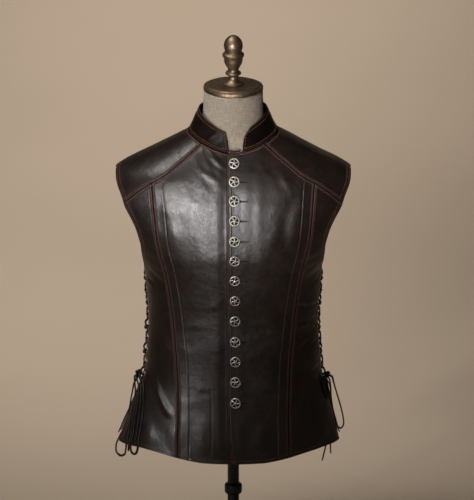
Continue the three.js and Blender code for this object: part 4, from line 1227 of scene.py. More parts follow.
# %% The cutting list
neck_seam = {side: neck_path(side) for side in SIDE_NAMES}
front_edge_line = front_edge_path()
hem_rows = {(side, facing): hem_path(side, facing, -10.0 if facing == FRONT else 0.0)
            for side in SIDE_NAMES for facing in FACING_NAMES}
cuts = {}
for side, side_name in SIDE_NAMES.items():
    name = f"front_centre_{side_name}"
    paths = [princess_path(side, FRONT), yoke_path(side, FRONT), neck_seam[side]]
    seams = [(path, seam_form) for path in paths]
    edges = [(hem_rows[side, FRONT], edge_form)]
    if side == LEFT:
        edges.append((front_edge_line, edge_form))
        place = centre_place(LEFT, FRONT, *left_top(), front_edge, front_line)
        cuts[name] = Cut(name, place, seams, edges, [single[side, FRONT]])
    else:
        outs, tops = top_line(RIGHT, FRONT, -UNDERLAP)
        seams.append((front_edge_line, lambda distance: 0 * distance))
        place = centre_place(RIGHT, FRONT, outs, tops, lambda z: middle_line(z) - UNDERLAP, front_line)
        cuts[name] = Cut(name, place, seams, edges, [single[side, FRONT], third_row], step_down)
    for facing, facing_name in FACING_NAMES.items():
        name = f"{facing_name}_side_{side_name}"
        cuts[name] = Cut(
            name, side_place(side, facing),
            [(princess_path(side, facing), seam_form), (yoke_path(side, facing), seam_form)],
            [(hem_rows[side, facing], edge_form), (armhole_path(side), armhole_form),
             (lace_path(side, facing), laced_form)])
print("cut pieces so far:", sorted(cuts))

# %% Rows of the grid
TALL = dict(front_centre=618, front_side=560, back_side=580, back_centre=630, yoke=190)
SINGLE_LINES = [12.5, 16, 19, 21, 22.2, 23.1, 24, 25.2, 27.5]     # close beside the single row
PRINCESS_LINES = np.concatenate([EDGE_LINES, SINGLE_LINES])


def height_shares(height, extra=()):
    lines = lines_across(height, EDGE_LINES, EDGE_LINES)
    return np.unique(np.concatenate([lines, extra])) / height


def rounded_rim(cut, points, normals):
    """How far the rim falls away at the finished edges."""
    drop = np.zeros(len(points))
    for path, _ in cut.edges:
        distance = nearest(points, normals, path, 3)[0]
        near = np.isfinite(distance)
        drop[near] = np.maximum(drop[near], rim_drop(distance[near]))
    return drop


def eyelet_spots(side, facing):
    reach = facing * (lace_reach[facing](eyelet_heights) + EYELET["inset"])
    return spot_beside(side, reach, eyelet_heights)


def open_holes(grid, spots):
    """Moves the grid's nearest points onto each hole's circle and marks the cells inside it."""
    rows, columns = grid.shape[:2]
    keep = np.ones((rows - 1, columns - 1), bool)
    flat = grid.reshape(-1, 3)
    cell_middles = (grid[:-1, :-1] + grid[1:, :-1] + grid[:-1, 1:] + grid[1:, 1:]) / 4
    for spot in spots:
        inside = np.linalg.norm(cell_middles - spot, axis=-1) < EYELET["hole"] - 0.2
        keep &= ~inside
        corners = np.zeros((rows, columns), int)
        for dr in (0, 1):
            for dc in (0, 1):
                corners[dr:rows - 1 + dr, dc:columns - 1 + dc] += inside
        border = np.flatnonzero(((corners > 0) & (corners < 4)).ravel())
        away = flat[border] - spot
        flat[border] = spot + unit(away) * EYELET["hole"]
    return flat.reshape(grid.shape), keep


def sew_up(cut, heights, start_lines, end_lines, spots=None):
    """Makes a cut piece into its shell, and measures it."""
    grid = lay_grid(cut.place, heights, start_lines, end_lines)
    keep = None
    if spots is not None:
        grid, keep = open_holes(grid, spots)
    flat = grid.reshape(-1, 3)
    normals = outward(flat)
    high, from_seam, from_edge = cut.height(flat, normals)
    rim = rounded_rim(cut, flat, normals)
    piece = shell(cut.name, grid, normals, high, rim, {"seam": from_seam, "edge": from_edge}, keep)
    across = max(arc(row)[-1] for row in grid)
    upright = max(arc(grid[:, k])[-1] for k in range(grid.shape[1]))
    cells = grid[1:, 1:] - grid[:-1, :-1], grid[1:, :-1] - grid[:-1, 1:]
    area = np.linalg.norm(np.cross(*cells), axis=-1).sum() / 2
    print(f"{cut.name}: {across:.0f} x {upright:.0f} mm, {area / 1e6:.4f} m2")
    return piece, (across, upright, area)


# %% Sew up the fronts and the sides
BESIDE_LACE = [4, 5.2, 6.6, 8.1, 9.6, 11.1, 12.6, 14.1, 15.5, 16.5, 17.6, 19.5]
LACE_LINES = np.concatenate([EDGE_LINES[:5], BESIDE_LACE])
UNDERARM_LINES = [340, 346, 350, 353, 355.5, 357, 358.5, 360, 361.5, 363, 365, 368, 372, 377, 383]
for side, side_name in SIDE_NAMES.items():
    cut = cuts[f"front_centre_{side_name}"]
    heights = height_shares(TALL["front_centre"])
    sew_up(cut, heights, EDGE_LINES, PRINCESS_LINES)
    for facing, facing_name in FACING_NAMES.items():
        cut = cuts[f"{facing_name}_side_{side_name}"]
        heights = height_shares(TALL[f"{facing_name}_side"], UNDERARM_LINES)
        spots = eyelet_spots(side, facing)
        sew_up(cut, heights, EDGE_LINES, LACE_LINES, spots)

# %% [markdown]
# ### The back
# The back is cut in one piece between its two princess seams, so its grid runs from seam to seam
# through the middle. Nobody sees it from the front, so it repeats the front's cut plainly.

# %% Sew up the back
back_places = {}
for side in SIDE_NAMES:
    outs, tops = top_line(side, BACK, 0.0)
    back_places[side] = centre_place(side, BACK, outs, tops, middle_line, back_line)


def back_place(s, v):
    """From the right princess seam at 0 to the left one at 1."""
    right = back_places[RIGHT](np.clip(1 - 2 * s, 0, 1), v)
    left = back_places[LEFT](np.clip(2 * s - 1, 0, 1), v)
    return np.where((s < 0.5)[:, None], right, left)


paths = [path(side, BACK) for path in (princess_path, yoke_path) for side in SIDE_NAMES]
paths += [neck_seam[side] for side in SIDE_NAMES]
cuts["back_centre"] = Cut(
    "back_centre", back_place, [(path, seam_form) for path in paths],
    [(hem_rows[side, BACK], edge_form) for side in SIDE_NAMES], [single[side, BACK] for side in SIDE_NAMES])
heights = height_shares(TALL["back_centre"])
sew_up(cuts["back_centre"], heights, PRINCESS_LINES, PRINCESS_LINES)


# %% [markdown]
# ### The yokes
# A yoke covers the shoulder from the front seam over the ridge to the back one. Its grid is blended
# between its four edges, which is how a patch with four curved sides is filled.

# %% Sew up the yokes


def yoke_half(side, facing):
    """Spots of a yoke between its seam and the ridge, blended between the four edges."""
    start = YOKE_TURN if facing == FRONT else 180 - YOKE_TURN
    outs = (yoke_start_out[facing], yoke_end_out[facing])

    def neck_edge(v):
        turn = mix(start, 90, v)
        return turn, neck_height(turn)

    def arm_edge(v):
        z = mix(yoke_end[facing] + SLANT_GAP, SHOULDER_TIP_Z, np.sin(v * np.pi / 2))
        return turn_of_reach(edge_reach(facing, z), z, facing), z

    def seam(w):
        z = yoke_seam[facing](mix(*outs, w)) + SLANT_GAP
        return turn_of_out(side, mix(*outs, w), z, facing), z

    def ridge(w):
        return 90 + 0 * w, mix(NECK_POINT_Z, SHOULDER_TIP_Z, w)

    def place(w, v):
        zero = np.zeros_like(w)
        spot = []
        for k in (0, 1):
            corner = [seam(zero)[k], arm_edge(zero)[k], ridge(zero)[k], ridge(zero + 1)[k]]
            seam_k = mix(seam(w)[k], corner[1], ease(w, 0.97, 1))
            value = mix(neck_edge(v)[k], arm_edge(v)[k], w) + mix(seam_k, ridge(w)[k], v)
            value = value - mix(mix(corner[0], corner[1], w), mix(corner[2], corner[3], w), v)
            spot.append(value)
        return spot_turned(side, *spot)
    return place


def yoke_place(side):
    front = yoke_half(side, FRONT)
    back = yoke_half(side, BACK)

    def place(w, q):
        """q runs from the front seam at 0 over the ridge at 0.5 to the back seam at 1."""
        before = front(w, np.clip(2 * q, 0, 1))
        behind = back(w, np.clip(2 - 2 * q, 0, 1))
        return np.where((q < 0.5)[:, None], before, behind)
    return place


ARM_LINES = np.concatenate([EDGE_LINES, [10.5, 11.8, 13.5]])
for side, side_name in SIDE_NAMES.items():
    name = f"yoke_{side_name}"
    paths = [yoke_path(side, FRONT), yoke_path(side, BACK), neck_seam[side]]
    seams = [(path, seam_form) for path in paths]
    cuts[name] = Cut(name, yoke_place(side), seams, [(armhole_path(side), armhole_form)])
    sew_up(cuts[name], height_shares(TALL["yoke"]), EDGE_LINES, ARM_LINES)

# %% [markdown]
# ## The collar
# A stand collar is a strip sewn to the neckline. It leans in towards the neck and rises to the back.
# Its rim follows an ellipse round the neck, and its two ends leave a gap at the front, where the left
# end is cut in a hollow curve.

# %% Shape of the collar
COLLAR = dict(wall=3.0, half=67.5, front=65.5, back=66.0, gap=0.6)
COLLAR_TOP = table("turn z", [
    (0, 671), (13, 675.5), (21, 679), (37, 688), (52, 695), (80, 705), (90, 708.5), (110, 709.5), (180, 709),
])
COLLAR_ENDS = dict(right_low=6.6, right_high=13.6, left_low=13.2, left_high=23.0)
COLLAR_HIGH = 33         # scales for setting out its lines; it is sewn 42 to 55 wide and 506 long at the foot
COLLAR_LONG = 475
collar_height = curve(COLLAR_TOP, "turn", "z")
angle_samples = np.linspace(0, 180, 181)
foot_of = {}
for side in SIDE_NAMES:
    def off(turn, side=side):
        spot = spot_turned(side, turn, neck_height(turn))
        return np.degrees(np.arctan2(np.abs(spot[..., 0]), -spot[..., 1])) - angle_samples
    turns = solve(off, np.zeros_like(angle_samples), np.full_like(angle_samples, 180))
    foot_of[side] = spot_turned(side, turns, neck_height(turns))


def collar_place(s, v):
    """s runs from the right end round the back to the left end, and v from the foot to the rim."""
    s, v = np.broadcast_arrays(np.asarray(s, float), np.asarray(v, float))
    bend = 0.45 * v + 0.55 * v ** 4
    first = mix(COLLAR_ENDS["right_low"], COLLAR_ENDS["right_high"], v)
    last = mix(360 - COLLAR_ENDS["left_low"], 360 - COLLAR_ENDS["left_high"], bend)
    angle = mix(first, last, s)
    right = angle < 180
    want = np.where(right, angle, 360 - angle)
    side = np.where(right, RIGHT, LEFT)
    feet = {}
    for foot_side, line in foot_of.items():
        feet[foot_side] = np.stack([np.interp(want, angle_samples, line[:, k]) for k in range(3)], -1)
    foot = np.where(right[..., None], feet[RIGHT], feet[LEFT])
    foot[..., 2] += COLLAR["gap"]
    around = np.radians(want)
    reach = 1 / np.hypot(np.sin(around) / COLLAR["half"],
                         np.cos(around) / np.where(want < 90, COLLAR["front"], COLLAR["back"]))
    rim = np.stack([side * reach * np.sin(around), -reach * np.cos(around), collar_height(want)], -1)
    corner = 5 * ease(s, 0.965, 1) ** 2 * v ** 3
    point = mix(foot, rim, v[..., None])
    point[..., 2] -= corner
    return point


def collar_normals(s, v):
    d = 0.002
    along = collar_place(np.clip(s + d, 0, 1), v) - collar_place(np.clip(s - d, 0, 1), v)
    up = collar_place(s, np.clip(v + 0.05, 0, 1)) - collar_place(s, np.clip(v - 0.05, 0, 1))
    return unit(np.cross(up, along))


# %% Folds and rows of the collar
COLLAR_FOLDS = table("s0 v0 s1 v1 wide high", [
    (0.045, 0.85, 0.10, 0.25, 4.5, 1.0), (0.02, 0.7, 0.05, 0.2, 4, -0.8), (0.10, 0.9, 0.15, 0.35, 5, -0.9),
    (0.13, 0.85, 0.17, 0.3, 4.5, 0.9), (0.25, 0.8, 0.29, 0.3, 7, 0.9), (0.38, 0.7, 0.42, 0.2, 8, -0.8),
    (0.52, 0.8, 0.50, 0.2, 8, 0.8), (0.64, 0.75, 0.60, 0.2, 7, -0.8), (0.75, 0.8, 0.71, 0.3, 6, 0.9),
    (0.86, 0.85, 0.82, 0.3, 5, -1.0), (0.91, 0.9, 0.875, 0.3, 4.5, 1.1), (0.965, 0.8, 0.94, 0.3, 4, -0.8),
])
whole = np.linspace(0, 1, 90)
collar_seams = [(collar_place(whole, 0.0), seam_form)]
collar_rims = [(whole, 1.0), (0.0, np.linspace(0, 1, 8)), (1.0, np.linspace(0, 1, 12))]
collar_edges = [(collar_place(s, v), edge_form) for s, v in collar_rims]
collar_folds = []
for s0, v0, s1, v1, wide, high in zip(*COLLAR_FOLDS.values()):
    t = np.linspace(0, 1, 9)
    collar_folds.append((collar_place(mix(s0, s1, t), mix(v0, v1, t)), wide, high))


def collar_work(points, normals):
    """Worked height, the distances to the seam and to the finished edges, and the drop of the rim."""
    high = 0.5 * unevenness(points) + folded(points, normals, collar_folds, 0.4, 1.0)
    high = shallow(high, 0.8)
    from_seam = add_lines(points, normals, high, collar_seams)
    from_edge = add_lines(points, normals, high, collar_edges)
    return high, from_seam, from_edge, rim_drop(from_edge, 1.45)


# %% Sew on the collar
collar_columns = lines_across(COLLAR_LONG, EDGE_LINES, EDGE_LINES)
collar_rows = np.concatenate([EDGE_LINES, [11.5, 14.5, 17.5, 20.5], COLLAR_HIGH - EDGE_LINES[::-1]])
s_grid, v_grid = np.meshgrid(collar_columns / COLLAR_LONG, collar_rows / COLLAR_HIGH)
collar_grid = collar_place(s_grid, v_grid)
collar_out = collar_normals(s_grid, v_grid)
high, from_seam, from_edge, rim = collar_work(collar_grid.reshape(-1, 3), collar_out.reshape(-1, 3))
collar = shell("collar", collar_grid, collar_out, high, rim, {"seam": from_seam, "edge": from_edge}, None,
               COLLAR["wall"], shaded_collar_finish)
print("collar faces", len(collar.data.polygons))

# %% [markdown]
# ## Stitches
# Leather is sewn with heavy thread, about six stitches in 3 cm. One stitch is a short round bar whose
# ends dive into the leather. It is made once as a small array of points and repeated along each row, a
# little slanted as a sewing machine lays it.

# %% One stitch, repeated along rows
STITCH = dict(pitch=5.2, half=2.05, radius=0.55, slant=0.16, above_hem=4.5)
stitch_x = np.array([-1, -0.72, 0, 0.72, 1]) * STITCH["half"]
stitch_z = np.array([-0.55, 0.12, 0.34, 0.12, -0.55])
stitch_size = np.array([0.6, 0.95, 1, 0.95, 0.6]) * STITCH["radius"]
STITCH_SIDES = 5
bar_angles = np.linspace(0, 2 * np.pi, STITCH_SIDES, endpoint=False)
bar = np.array([(x, size * math.cos(a), z + size * math.sin(a))
                for x, z, size in zip(stitch_x, stitch_z, stitch_size) for a in bar_angles])
bar_faces = [face[::-1] for face in ring_faces(len(stitch_x), STITCH_SIDES)]
bar_sides = np.array(bar_faces[:-2])
bar_caps = np.array(bar_faces[-2:])


def sewn(centres, along, out):
    """Stitches at the centres, as one mesh of points and faces."""
    along = unit(along - out * np.einsum("ij,ij->i", along, out)[:, None])
    across = np.cross(out, along)
    slanted = along * math.cos(STITCH["slant"]) + across * math.sin(STITCH["slant"])
    across = np.cross(out, slanted)
    points = (centres[:, None] + bar[None, :, :1] * slanted[:, None]
              + bar[None, :, 1:2] * across[:, None] + bar[None, :, 2:] * out[:, None])
    starts = np.arange(len(centres))[:, None, None] * len(bar)
    sides = (bar_sides + starts).reshape(-1, 4)
    caps = (bar_caps + starts).reshape(-1, STITCH_SIDES)
    return points.reshape(-1, 3), sides.tolist() + caps.tolist()


def over_line(line, curves):
    """How far points lie above a line that the curves give for the front and for the back."""
    out = np.abs(line[:, 0])
    return line[:, 2] - np.where(line[:, 1] < 0, curves[FRONT](out), curves[BACK](out))


def sew_row(cut, path, start=0.0, end=0.0):
    """Stitches along a path on a cut piece, but for a length at its start, at its end and at the hem."""
    line = onto_face(evenly(path, STITCH["pitch"], start, end))
    line = line[over_line(line, hem) > STITCH["above_hem"]]
    skin, out = cut.skin(line)
    return sewn(skin, np.gradient(skin, axis=0), out)


def sew_pieces(name, rows, finish=thread):
    piece = new_piece(name, *joined(rows), finish)
    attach(piece, "root")
    print(name, "faces", len(piece.data.polygons))


# %% Sew the rows of each panel
ROW_START = {FRONT: 8, BACK: 12}     # how far above the hem the upright rows start
JOIN = 4                             # how far a row stops from a join


def hem_row(side, facing, start, end):
    """The part of a hem's row between two distances from the middle."""
    row = beside(hem_rows[side, facing], ROW + 1, spot_at(side, 60.0, 200.0, facing))
    out = row[:, 0] * side
    return row[(out >= start) & (out <= end)]


thread_pieces = {}
for side, side_name in SIDE_NAMES.items():
    for facing, facing_name in FACING_NAMES.items():
        centre = cuts["back_centre" if facing == BACK else f"front_centre_{side_name}"]
        flank = cuts[f"{facing_name}_side_{side_name}"]
        yoke = cuts[f"yoke_{side_name}"]
        seam = princess_path(side, facing)
        yoked = yoke_path(side, facing)
        start = ROW_START[facing]
        hem_join = float(princess[facing](10))
        rows = [
            sew_row(centre, beside(seam, ROW, CHEST[side, facing]), start, 7),
            sew_row(centre, single[side, facing], start, 9),
            sew_row(flank, beside(seam, ROW, FLANK[side, facing]), start + JOIN, 7),
            sew_row(yoke, beside(yoked, ROW, HIGH[side, facing]), 7, 8),
        ]
        below = beside(yoked, ROW, CHEST[side, facing])
        yoke_join = float(princess[facing](princess_top(facing)))
        split = int(np.argmin(np.abs(np.abs(below[:, 0]) - yoke_join)))
        rows.append(sew_row(centre, below[:split + 1], 7, 3))
        rows.append(sew_row(flank, below[split:], 3, 8))
        edge = lace_path(side, facing)
        for distance, end in zip(LACE_ROWS, (5, 8)):
            rows.append(sew_row(flank, beside(edge, distance, FLANK[side, facing]), 8, end))
        hem_start = -6 if centre.name == "front_centre_left" else -12
        rows.append(sew_row(centre, hem_row(side, facing, hem_start, hem_join - JOIN)))
        rows.append(sew_row(flank, hem_row(side, facing, hem_join + JOIN, 400), 0, 6))
        if facing == FRONT and side == RIGHT:
            rows.append(sew_row(centre, third_row, 6, 2))
        thread_pieces[side, facing] = rows

# %% Sew the neck, the front edge and the armholes
NECK_ROW = 4.2
NECK_START = {LEFT: 17, RIGHT: 9}    # where the neck's rows start, from the middle
for side, side_name in SIDE_NAMES.items():
    yoke = cuts[f"yoke_{side_name}"]
    neck = neck_seam[side]
    low = beside(neck, NECK_ROW, spot_at(side, 60.0, 600.0, FRONT))
    outs = np.abs(neck[:, 0])
    in_front = neck[:, 1] < 0
    at_back = neck[:, 1] > 0
    on_front = in_front & (outs > NECK_START[side]) & (outs < yoke_start_out[FRONT] - JOIN)
    on_back = at_back & (outs < yoke_start_out[BACK] - JOIN)
    below_front = in_front & (outs < yoke_start_out[FRONT] + JOIN)
    below_back = at_back & (outs < yoke_start_out[BACK] + JOIN)
    thread_pieces[side, FRONT].append(sew_row(cuts[f"front_centre_{side_name}"], low[on_front]))
    thread_pieces[side, BACK].append(sew_row(cuts["back_centre"], low[on_back]))
    thread_pieces[side, FRONT].append(sew_row(yoke, low[~(below_front | below_back)]))
    for distance in (ROW, SECOND_ROW):
        row = beside(armhole_path(side), distance, (side * 120.0, 0, 650))
        over_seam = over_line(row, yoke_seam)
        for facing, facing_name in FACING_NAMES.items():
            lower = row[(row[:, 1] * facing > 0) & (over_seam < -5) & (row[:, 2] > UNDERARM + 6)]
            thread_pieces[side, facing].append(sew_row(cuts[f"{facing_name}_side_{side_name}"], lower))
        thread_pieces[side, FRONT].append(sew_row(yoke, row[over_seam > 5]))
edge_row = beside(front_edge_line, ROW, spot_at(LEFT, 60.0, 300.0, FRONT))
thread_pieces[LEFT, FRONT].append(sew_row(cuts["front_centre_left"], edge_row, 7, 4))
for (side, facing), rows in thread_pieces.items():
    sew_pieces(f"thread_{FACING_NAMES[facing]}_{SIDE_NAMES[side]}", rows)

# %% Sew the collar's rows
UPRIGHT = np.linspace(0.22, 0.8, 30)
collar_lines = [
    (np.linspace(0.01, 0.99, 300), 5 / COLLAR_HIGH), (np.linspace(0.012, 0.985, 300), 28 / COLLAR_HIGH),
    (0.011, UPRIGHT), (0.989, UPRIGHT),
]
collar_threads = []
for s, v in collar_lines:
    s, v = np.broadcast_arrays(s, v)
    path = collar_place(s, v)
    along = arc(path)
    count = round(along[-1] / STITCH["pitch"])
    wanted = np.linspace(0, along[-1], count)
    s = np.interp(wanted, along, s)
    v = np.interp(wanted, along, v)
    centres = collar_place(s, v)
    out = collar_normals(s, v)
    centres = centres + out * collar_work(centres, out)[0][:, None]
    collar_threads.append(sewn(centres, np.gradient(centres, axis=0), out))
sew_pieces("thread_collar", collar_threads)

# %% [markdown]
# ## Side lacing and eyelets
# Eighteen eyelets a side are rolled metal rings set through both layers of the edge. The lace starts
# as a bar behind the top pair, comes up through each eyelet, crosses the gap and dips behind the other
# edge. It is held all the way, so it isn't a free cord.

# %% Roll one eyelet and set it in every hole
# radius and height of the ring's section, from the leather's outer face
ring_profile = np.array([(2.75, -2.4), (3.1, -2.6), (3.15, 0.1), (5.0, 0.15), (5.3, 0.45), (4.9, 0.95),
                         (3.9, 1.2), (3.1, 1.05), (2.75, 0.5)])
RING_SIDES = 20
ring_angles = np.linspace(0, 2 * np.pi, RING_SIDES, endpoint=False)
silver = make_plain("antique_silver", (0.36, 0.34, 0.30), (0.90, 0.87, 0.81), 700, 0.47, 0.00012, 1.0)


def ring_mesh(centre, out):
    """An eyelet round a centre: its section repeated round a circle, and joined up with the first one."""
    first = unit(np.cross(out, (0, 0, 1)))
    second = np.cross(out, first)
    points = np.vstack([centre + r * (math.cos(a) * first + math.sin(a) * second) + h * out
                        for a in ring_angles for r, h in ring_profile])
    faces = ring_faces(RING_SIDES + 1, len(ring_profile))[:-2]
    return points, [[i % len(points) for i in face] for face in faces]


for side, side_name in SIDE_NAMES.items():
    rings = []
    for facing, facing_name in FACING_NAMES.items():
        cut = cuts[f"{facing_name}_side_{side_name}"]
        skin, out = cut.skin(eyelet_spots(side, facing))
        rings += [ring_mesh(centre, way) for centre, way in zip(skin, out)]
    piece = new_piece(f"eyelets_{side_name}", *joined(rings), silver)
    belongs(piece)

# %% Thread the lace through the eyelets
LACE_CLEAR = 0.45
OVER = LACE_CLEAR + LACE / 2
UNDER = -(LEATHER + LACE_CLEAR + LACE / 2)
CROSSING = dict(over=1.5, under=-2.9, reach=4)


def lifted(side, reach, z, lift):
    point = spot_beside(side, reach, z)
    return point + outward(point) * lift


# heights at which the lace was drawn less tight, each with how far it bulges there
SLACK = {
    LEFT: ((338, 3.0), (300, 2.0), (262, 3.6), (214, 2.2)),
    RIGHT: ((318, 3.4), (290, 4.4), (248, 4.8), (196, 4.0)),
}


def slack(side, z):
    """How far the lace bulges at a height."""
    return sum(bulge * hill(z - height, 8.0) for height, bulge in SLACK[side])


def strand(side, start_facing, passing):
    """Centre line of one end of the lace, from behind the top eyelets down to its knot."""
    points = [lifted(side, start_facing * 0.6, EYELET["top"], UNDER)]
    facing = start_facing
    for row, z in enumerate(eyelet_heights):
        edge = float(lace_reach[FRONT](z))
        hole = edge + EYELET["inset"] + 0.4
        points.append(lifted(side, facing * hole, z + 0.8, UNDER + 0.4))
        points.append(lifted(side, facing * hole, z - 0.8, OVER - 0.4))
        if row + 1 < EYELET["count"]:
            drops = [z - EYELET["pitch"] * share for share in (0.24, 0.42, 0.58, 0.76)]
            loose = slack(side, drops[0])
            reach = facing * CROSSING["reach"]
            lift = CROSSING[passing]
            points.append(lifted(side, facing * edge, drops[0], OVER + 0.5 + loose * 0.8))
            points.append(lifted(side, reach, drops[1], lift + loose))
            points.append(lifted(side, -reach, drops[2], lift + loose * 0.8))
            points.append(lifted(side, -facing * edge, drops[3], UNDER - 0.6))
            facing = -facing
    knot = np.array(KNOTS[side], float)
    points.append(knot + unit(points[-1] - knot) * 3)
    return smooth_route(points, 2.5)


for side in (RIGHT, LEFT):
    for letter, facing, passing in (("a", FRONT, "over"), ("b", BACK, "under")):
        name = f"lacing_{SIDE_NAMES[side]}_{letter}"
        line = strand(side, facing, passing)
        piece = new_piece(f"{name}_lace", *strip(line, 1.0, outward(line), 10), lace_leather)
        belongs(piece, name)
        print(piece.name, "runs", round(arc(line)[-1]), "mm")

# %% [markdown]
# ## Buttons
# Each button is cast: a rim, a small boss and five curved arms over a blackened disc. One is modelled
# at the origin, lying flat, and copied thirteen times, each turned a little differently as sewn-on
# buttons are. The arms are swept by spinning a small ring round an axis.

# %% Model one button
BUTTON = dict(rim=9.55, wire=1.45, boss=2.3, arm=1.2, disc=9.4, thick=0.5, dome=1.1, lift=0.6, lean=2.0)
ARMS = 5
BUTTON_HEIGHTS = [618, 585, 548, 509, 467.5, 426.5, 383.5, 339.5, 295, 251, 209.5, 167, 125]
button_x = curve(table("z x", [(128, 4.4), (622, 1.6)]), "z", "x")
MM = 0.001
recess = make_plain("blackened_recess", (0.002, 0.0018, 0.0016), (0.006, 0.005, 0.0045), 600, 0.8, 0.0001)


def edit(on=True):
    bpy.ops.object.mode_set(mode="EDIT" if on else "OBJECT")


bpy.ops.mesh.primitive_torus_add(major_radius=BUTTON["rim"] * MM, minor_radius=BUTTON["wire"] * MM,
                                 major_segments=40, minor_segments=8)
rim_ring = bpy.context.object
rim_ring.scale.z = 0.9
rim_ring.location.z = 1.5 * MM
bpy.ops.object.transform_apply(location=True, rotation=True, scale=True)
bpy.ops.mesh.primitive_uv_sphere_add(segments=14, ring_count=8, radius=BUTTON["boss"] * MM,
                                     location=(0, 0, 2.6 * MM))
boss = bpy.context.object
boss.scale.z = 0.6
bpy.ops.object.transform_apply(location=True, rotation=True, scale=True)
arm_pieces = []
for k in range(ARMS):
    bpy.ops.mesh.primitive_circle_add(vertices=7, radius=BUTTON["arm"] * MM,
                                      location=(BUTTON["arm"] * MM, 0, 2.2 * MM),
                                      rotation=(math.pi / 2, 0, math.radians(137)))
    arm = bpy.context.object
    bpy.ops.object.transform_apply(location=True, rotation=True, scale=True)
    edit()
    bpy.ops.mesh.select_all(action="SELECT")
    bpy.ops.mesh.spin(steps=10, angle=math.radians(110), center=(5.0 * MM, -3.5 * MM, 0), axis=(0, 0, -1))
    edit(False)
    arm.rotation_euler.z = 2 * math.pi * k / ARMS
    bpy.ops.object.transform_apply(location=True, rotation=True, scale=True)
    arm_pieces.append(arm)
bpy.ops.mesh.primitive_cylinder_add(vertices=40, radius=BUTTON["disc"] * MM, depth=BUTTON["thick"] * MM,
                                    location=(0, 0, 0.45 * MM))
disc = bpy.context.object
edit()
bpy.ops.mesh.select_all(action="SELECT")
bpy.ops.mesh.bevel(offset=0.25 * MM, segments=2)
edit(False)
print("arms on a button:", len(arm_pieces))

# %% Join it, dome it and copy it
for piece in [rim_ring, boss, *arm_pieces]:
    piece.data.materials.append(silver)
disc.data.materials.append(recess)
bpy.ops.object.select_all(action="DESELECT")
for piece in [rim_ring, boss, disc, *arm_pieces]:
    piece.select_set(True)
bpy.context.view_layer.objects.active = rim_ring
bpy.ops.object.join()
button_master = rim_ring
edit()
bpy.ops.mesh.select_all(action="SELECT")
bpy.ops.mesh.normals_make_consistent(inside=False)
edit(False)
bpy.ops.object.shade_smooth()
for vertex in button_master.data.vertices:
    reach = min(1.0, math.hypot(vertex.co.x, vertex.co.y) / (9.6 * MM))
    vertex.co.z += BUTTON["dome"] * MM * (1 - reach ** 2)
button_turns = np.random.default_rng(3).uniform(0, 360, len(BUTTON_HEIGHTS))
button_tilts = np.random.default_rng(4).normal(0, BUTTON["lean"], (len(BUTTON_HEIGHTS), 2))
left_front = cuts["front_centre_left"]
for i, z in enumerate(BUTTON_HEIGHTS):
    name = f"button_{i + 1:02d}"
    spot, out = left_front.skin(spot_at(LEFT, button_x([z]), [z], FRONT), BUTTON["lift"])
    piece = bpy.data.objects.new(f"{name}_cast", button_master.data.copy())
    scene.collection.objects.link(piece)
    tilt, roll = np.radians(button_tilts[i])
    lean = Matrix.Rotation(tilt, 4, "X") @ Matrix.Rotation(roll, 4, "Y")
    facing_out = Vector(out[0]).to_track_quat("Z", "Y").to_matrix().to_4x4()
    turn = Matrix.Rotation(math.radians(button_turns[i]), 4, "Z")
    piece.data.transform(Matrix.Translation(Vector(in_metres(spot[0]))) @ facing_out @ lean @ turn)
    belongs(piece, name)
bpy.data.objects.remove(button_master)
print("buttons sewn on:", len(BUTTON_HEIGHTS))

# %% [markdown]
# ## Buttonholes
# Beside each button the end of its hole shows: a cut in the leather edged with close stitches. The cut
# is a narrow dark lens, and the edging is the same stitch laid across its rim.

# %% Work the buttonholes
HOLE = dict(start=9.5, end=26.0, half=1.5, gape=0.55, deep=0.7, pitch=1.15, lift=0.12, drop=1.0)
EDGING = dict(spread=0.75, clear=0.45, size=0.62, past=0.8)


def lens(share, size):
    """Half the height along a lens with a blunt start and a pointed end."""
    return HOLE["half"] * np.sqrt(np.clip(1 - share ** 2.2, 0, 1)) * size


hole_threads = []
slits = []
hole_material = make_plain("cut_leather", (0.006, 0.003, 0.0025), (0.016, 0.006, 0.005), 500, 0.7, 0.0001)
for button_z in BUTTON_HEIGHTS:
    z = button_z - HOLE["drop"]
    x0 = float(button_x(z))
    along = np.linspace(0, 1, 16)
    outs = x0 + mix(HOLE["start"], HOLE["end"], along)
    gape = lens(along, HOLE["gape"])
    upper = left_front.skin(spot_at(LEFT, outs, z + gape, FRONT), HOLE["lift"])[0]
    lower = left_front.skin(spot_at(LEFT, outs, z - gape, FRONT), HOLE["lift"])[0]
    under = (upper + lower) / 2 + (0, HOLE["deep"], 0)
    rim = np.vstack([upper, lower, under])
    n = len(outs)
    faces = [[k, k + 1, 2 * n + k + 1, 2 * n + k] for k in range(n - 1)]
    faces += [[2 * n + k, 2 * n + k + 1, n + k + 1, n + k] for k in range(n - 1)]
    faces += [[k + 1, k, n + k, n + k + 1] for k in range(n - 1)]
    faces += [[0, 2 * n, n], [n - 1, 2 * n - 1, 3 * n - 1]]
    slits.append((rim, faces))
    count = int((HOLE["end"] - HOLE["start"]) / HOLE["pitch"])
    share = np.linspace(0, 1, count)
    for sign in (1, -1):
        outs = x0 + mix(HOLE["start"], HOLE["end"] + EDGING["past"], share)
        rise = sign * (lens(share, EDGING["spread"]) + EDGING["clear"])
        centres, out = left_front.skin(spot_at(LEFT, outs, z + rise, FRONT))
        across = np.tile((0.35 * sign, 0, 1.0), (count, 1))
        stitch, stitch_faces = sewn(centres, across, out)
        local = stitch.reshape(count, len(bar), 3) - centres[:, None]
        stitch = (centres[:, None] + local * EDGING["size"]).reshape(-1, 3)
        hole_threads.append((stitch, stitch_faces))
slit_piece = new_piece("buttonhole_cuts", *joined(slits), hole_material)
belongs(slit_piece)
sew_pieces("thread_buttonholes", hole_threads, dark_thread)

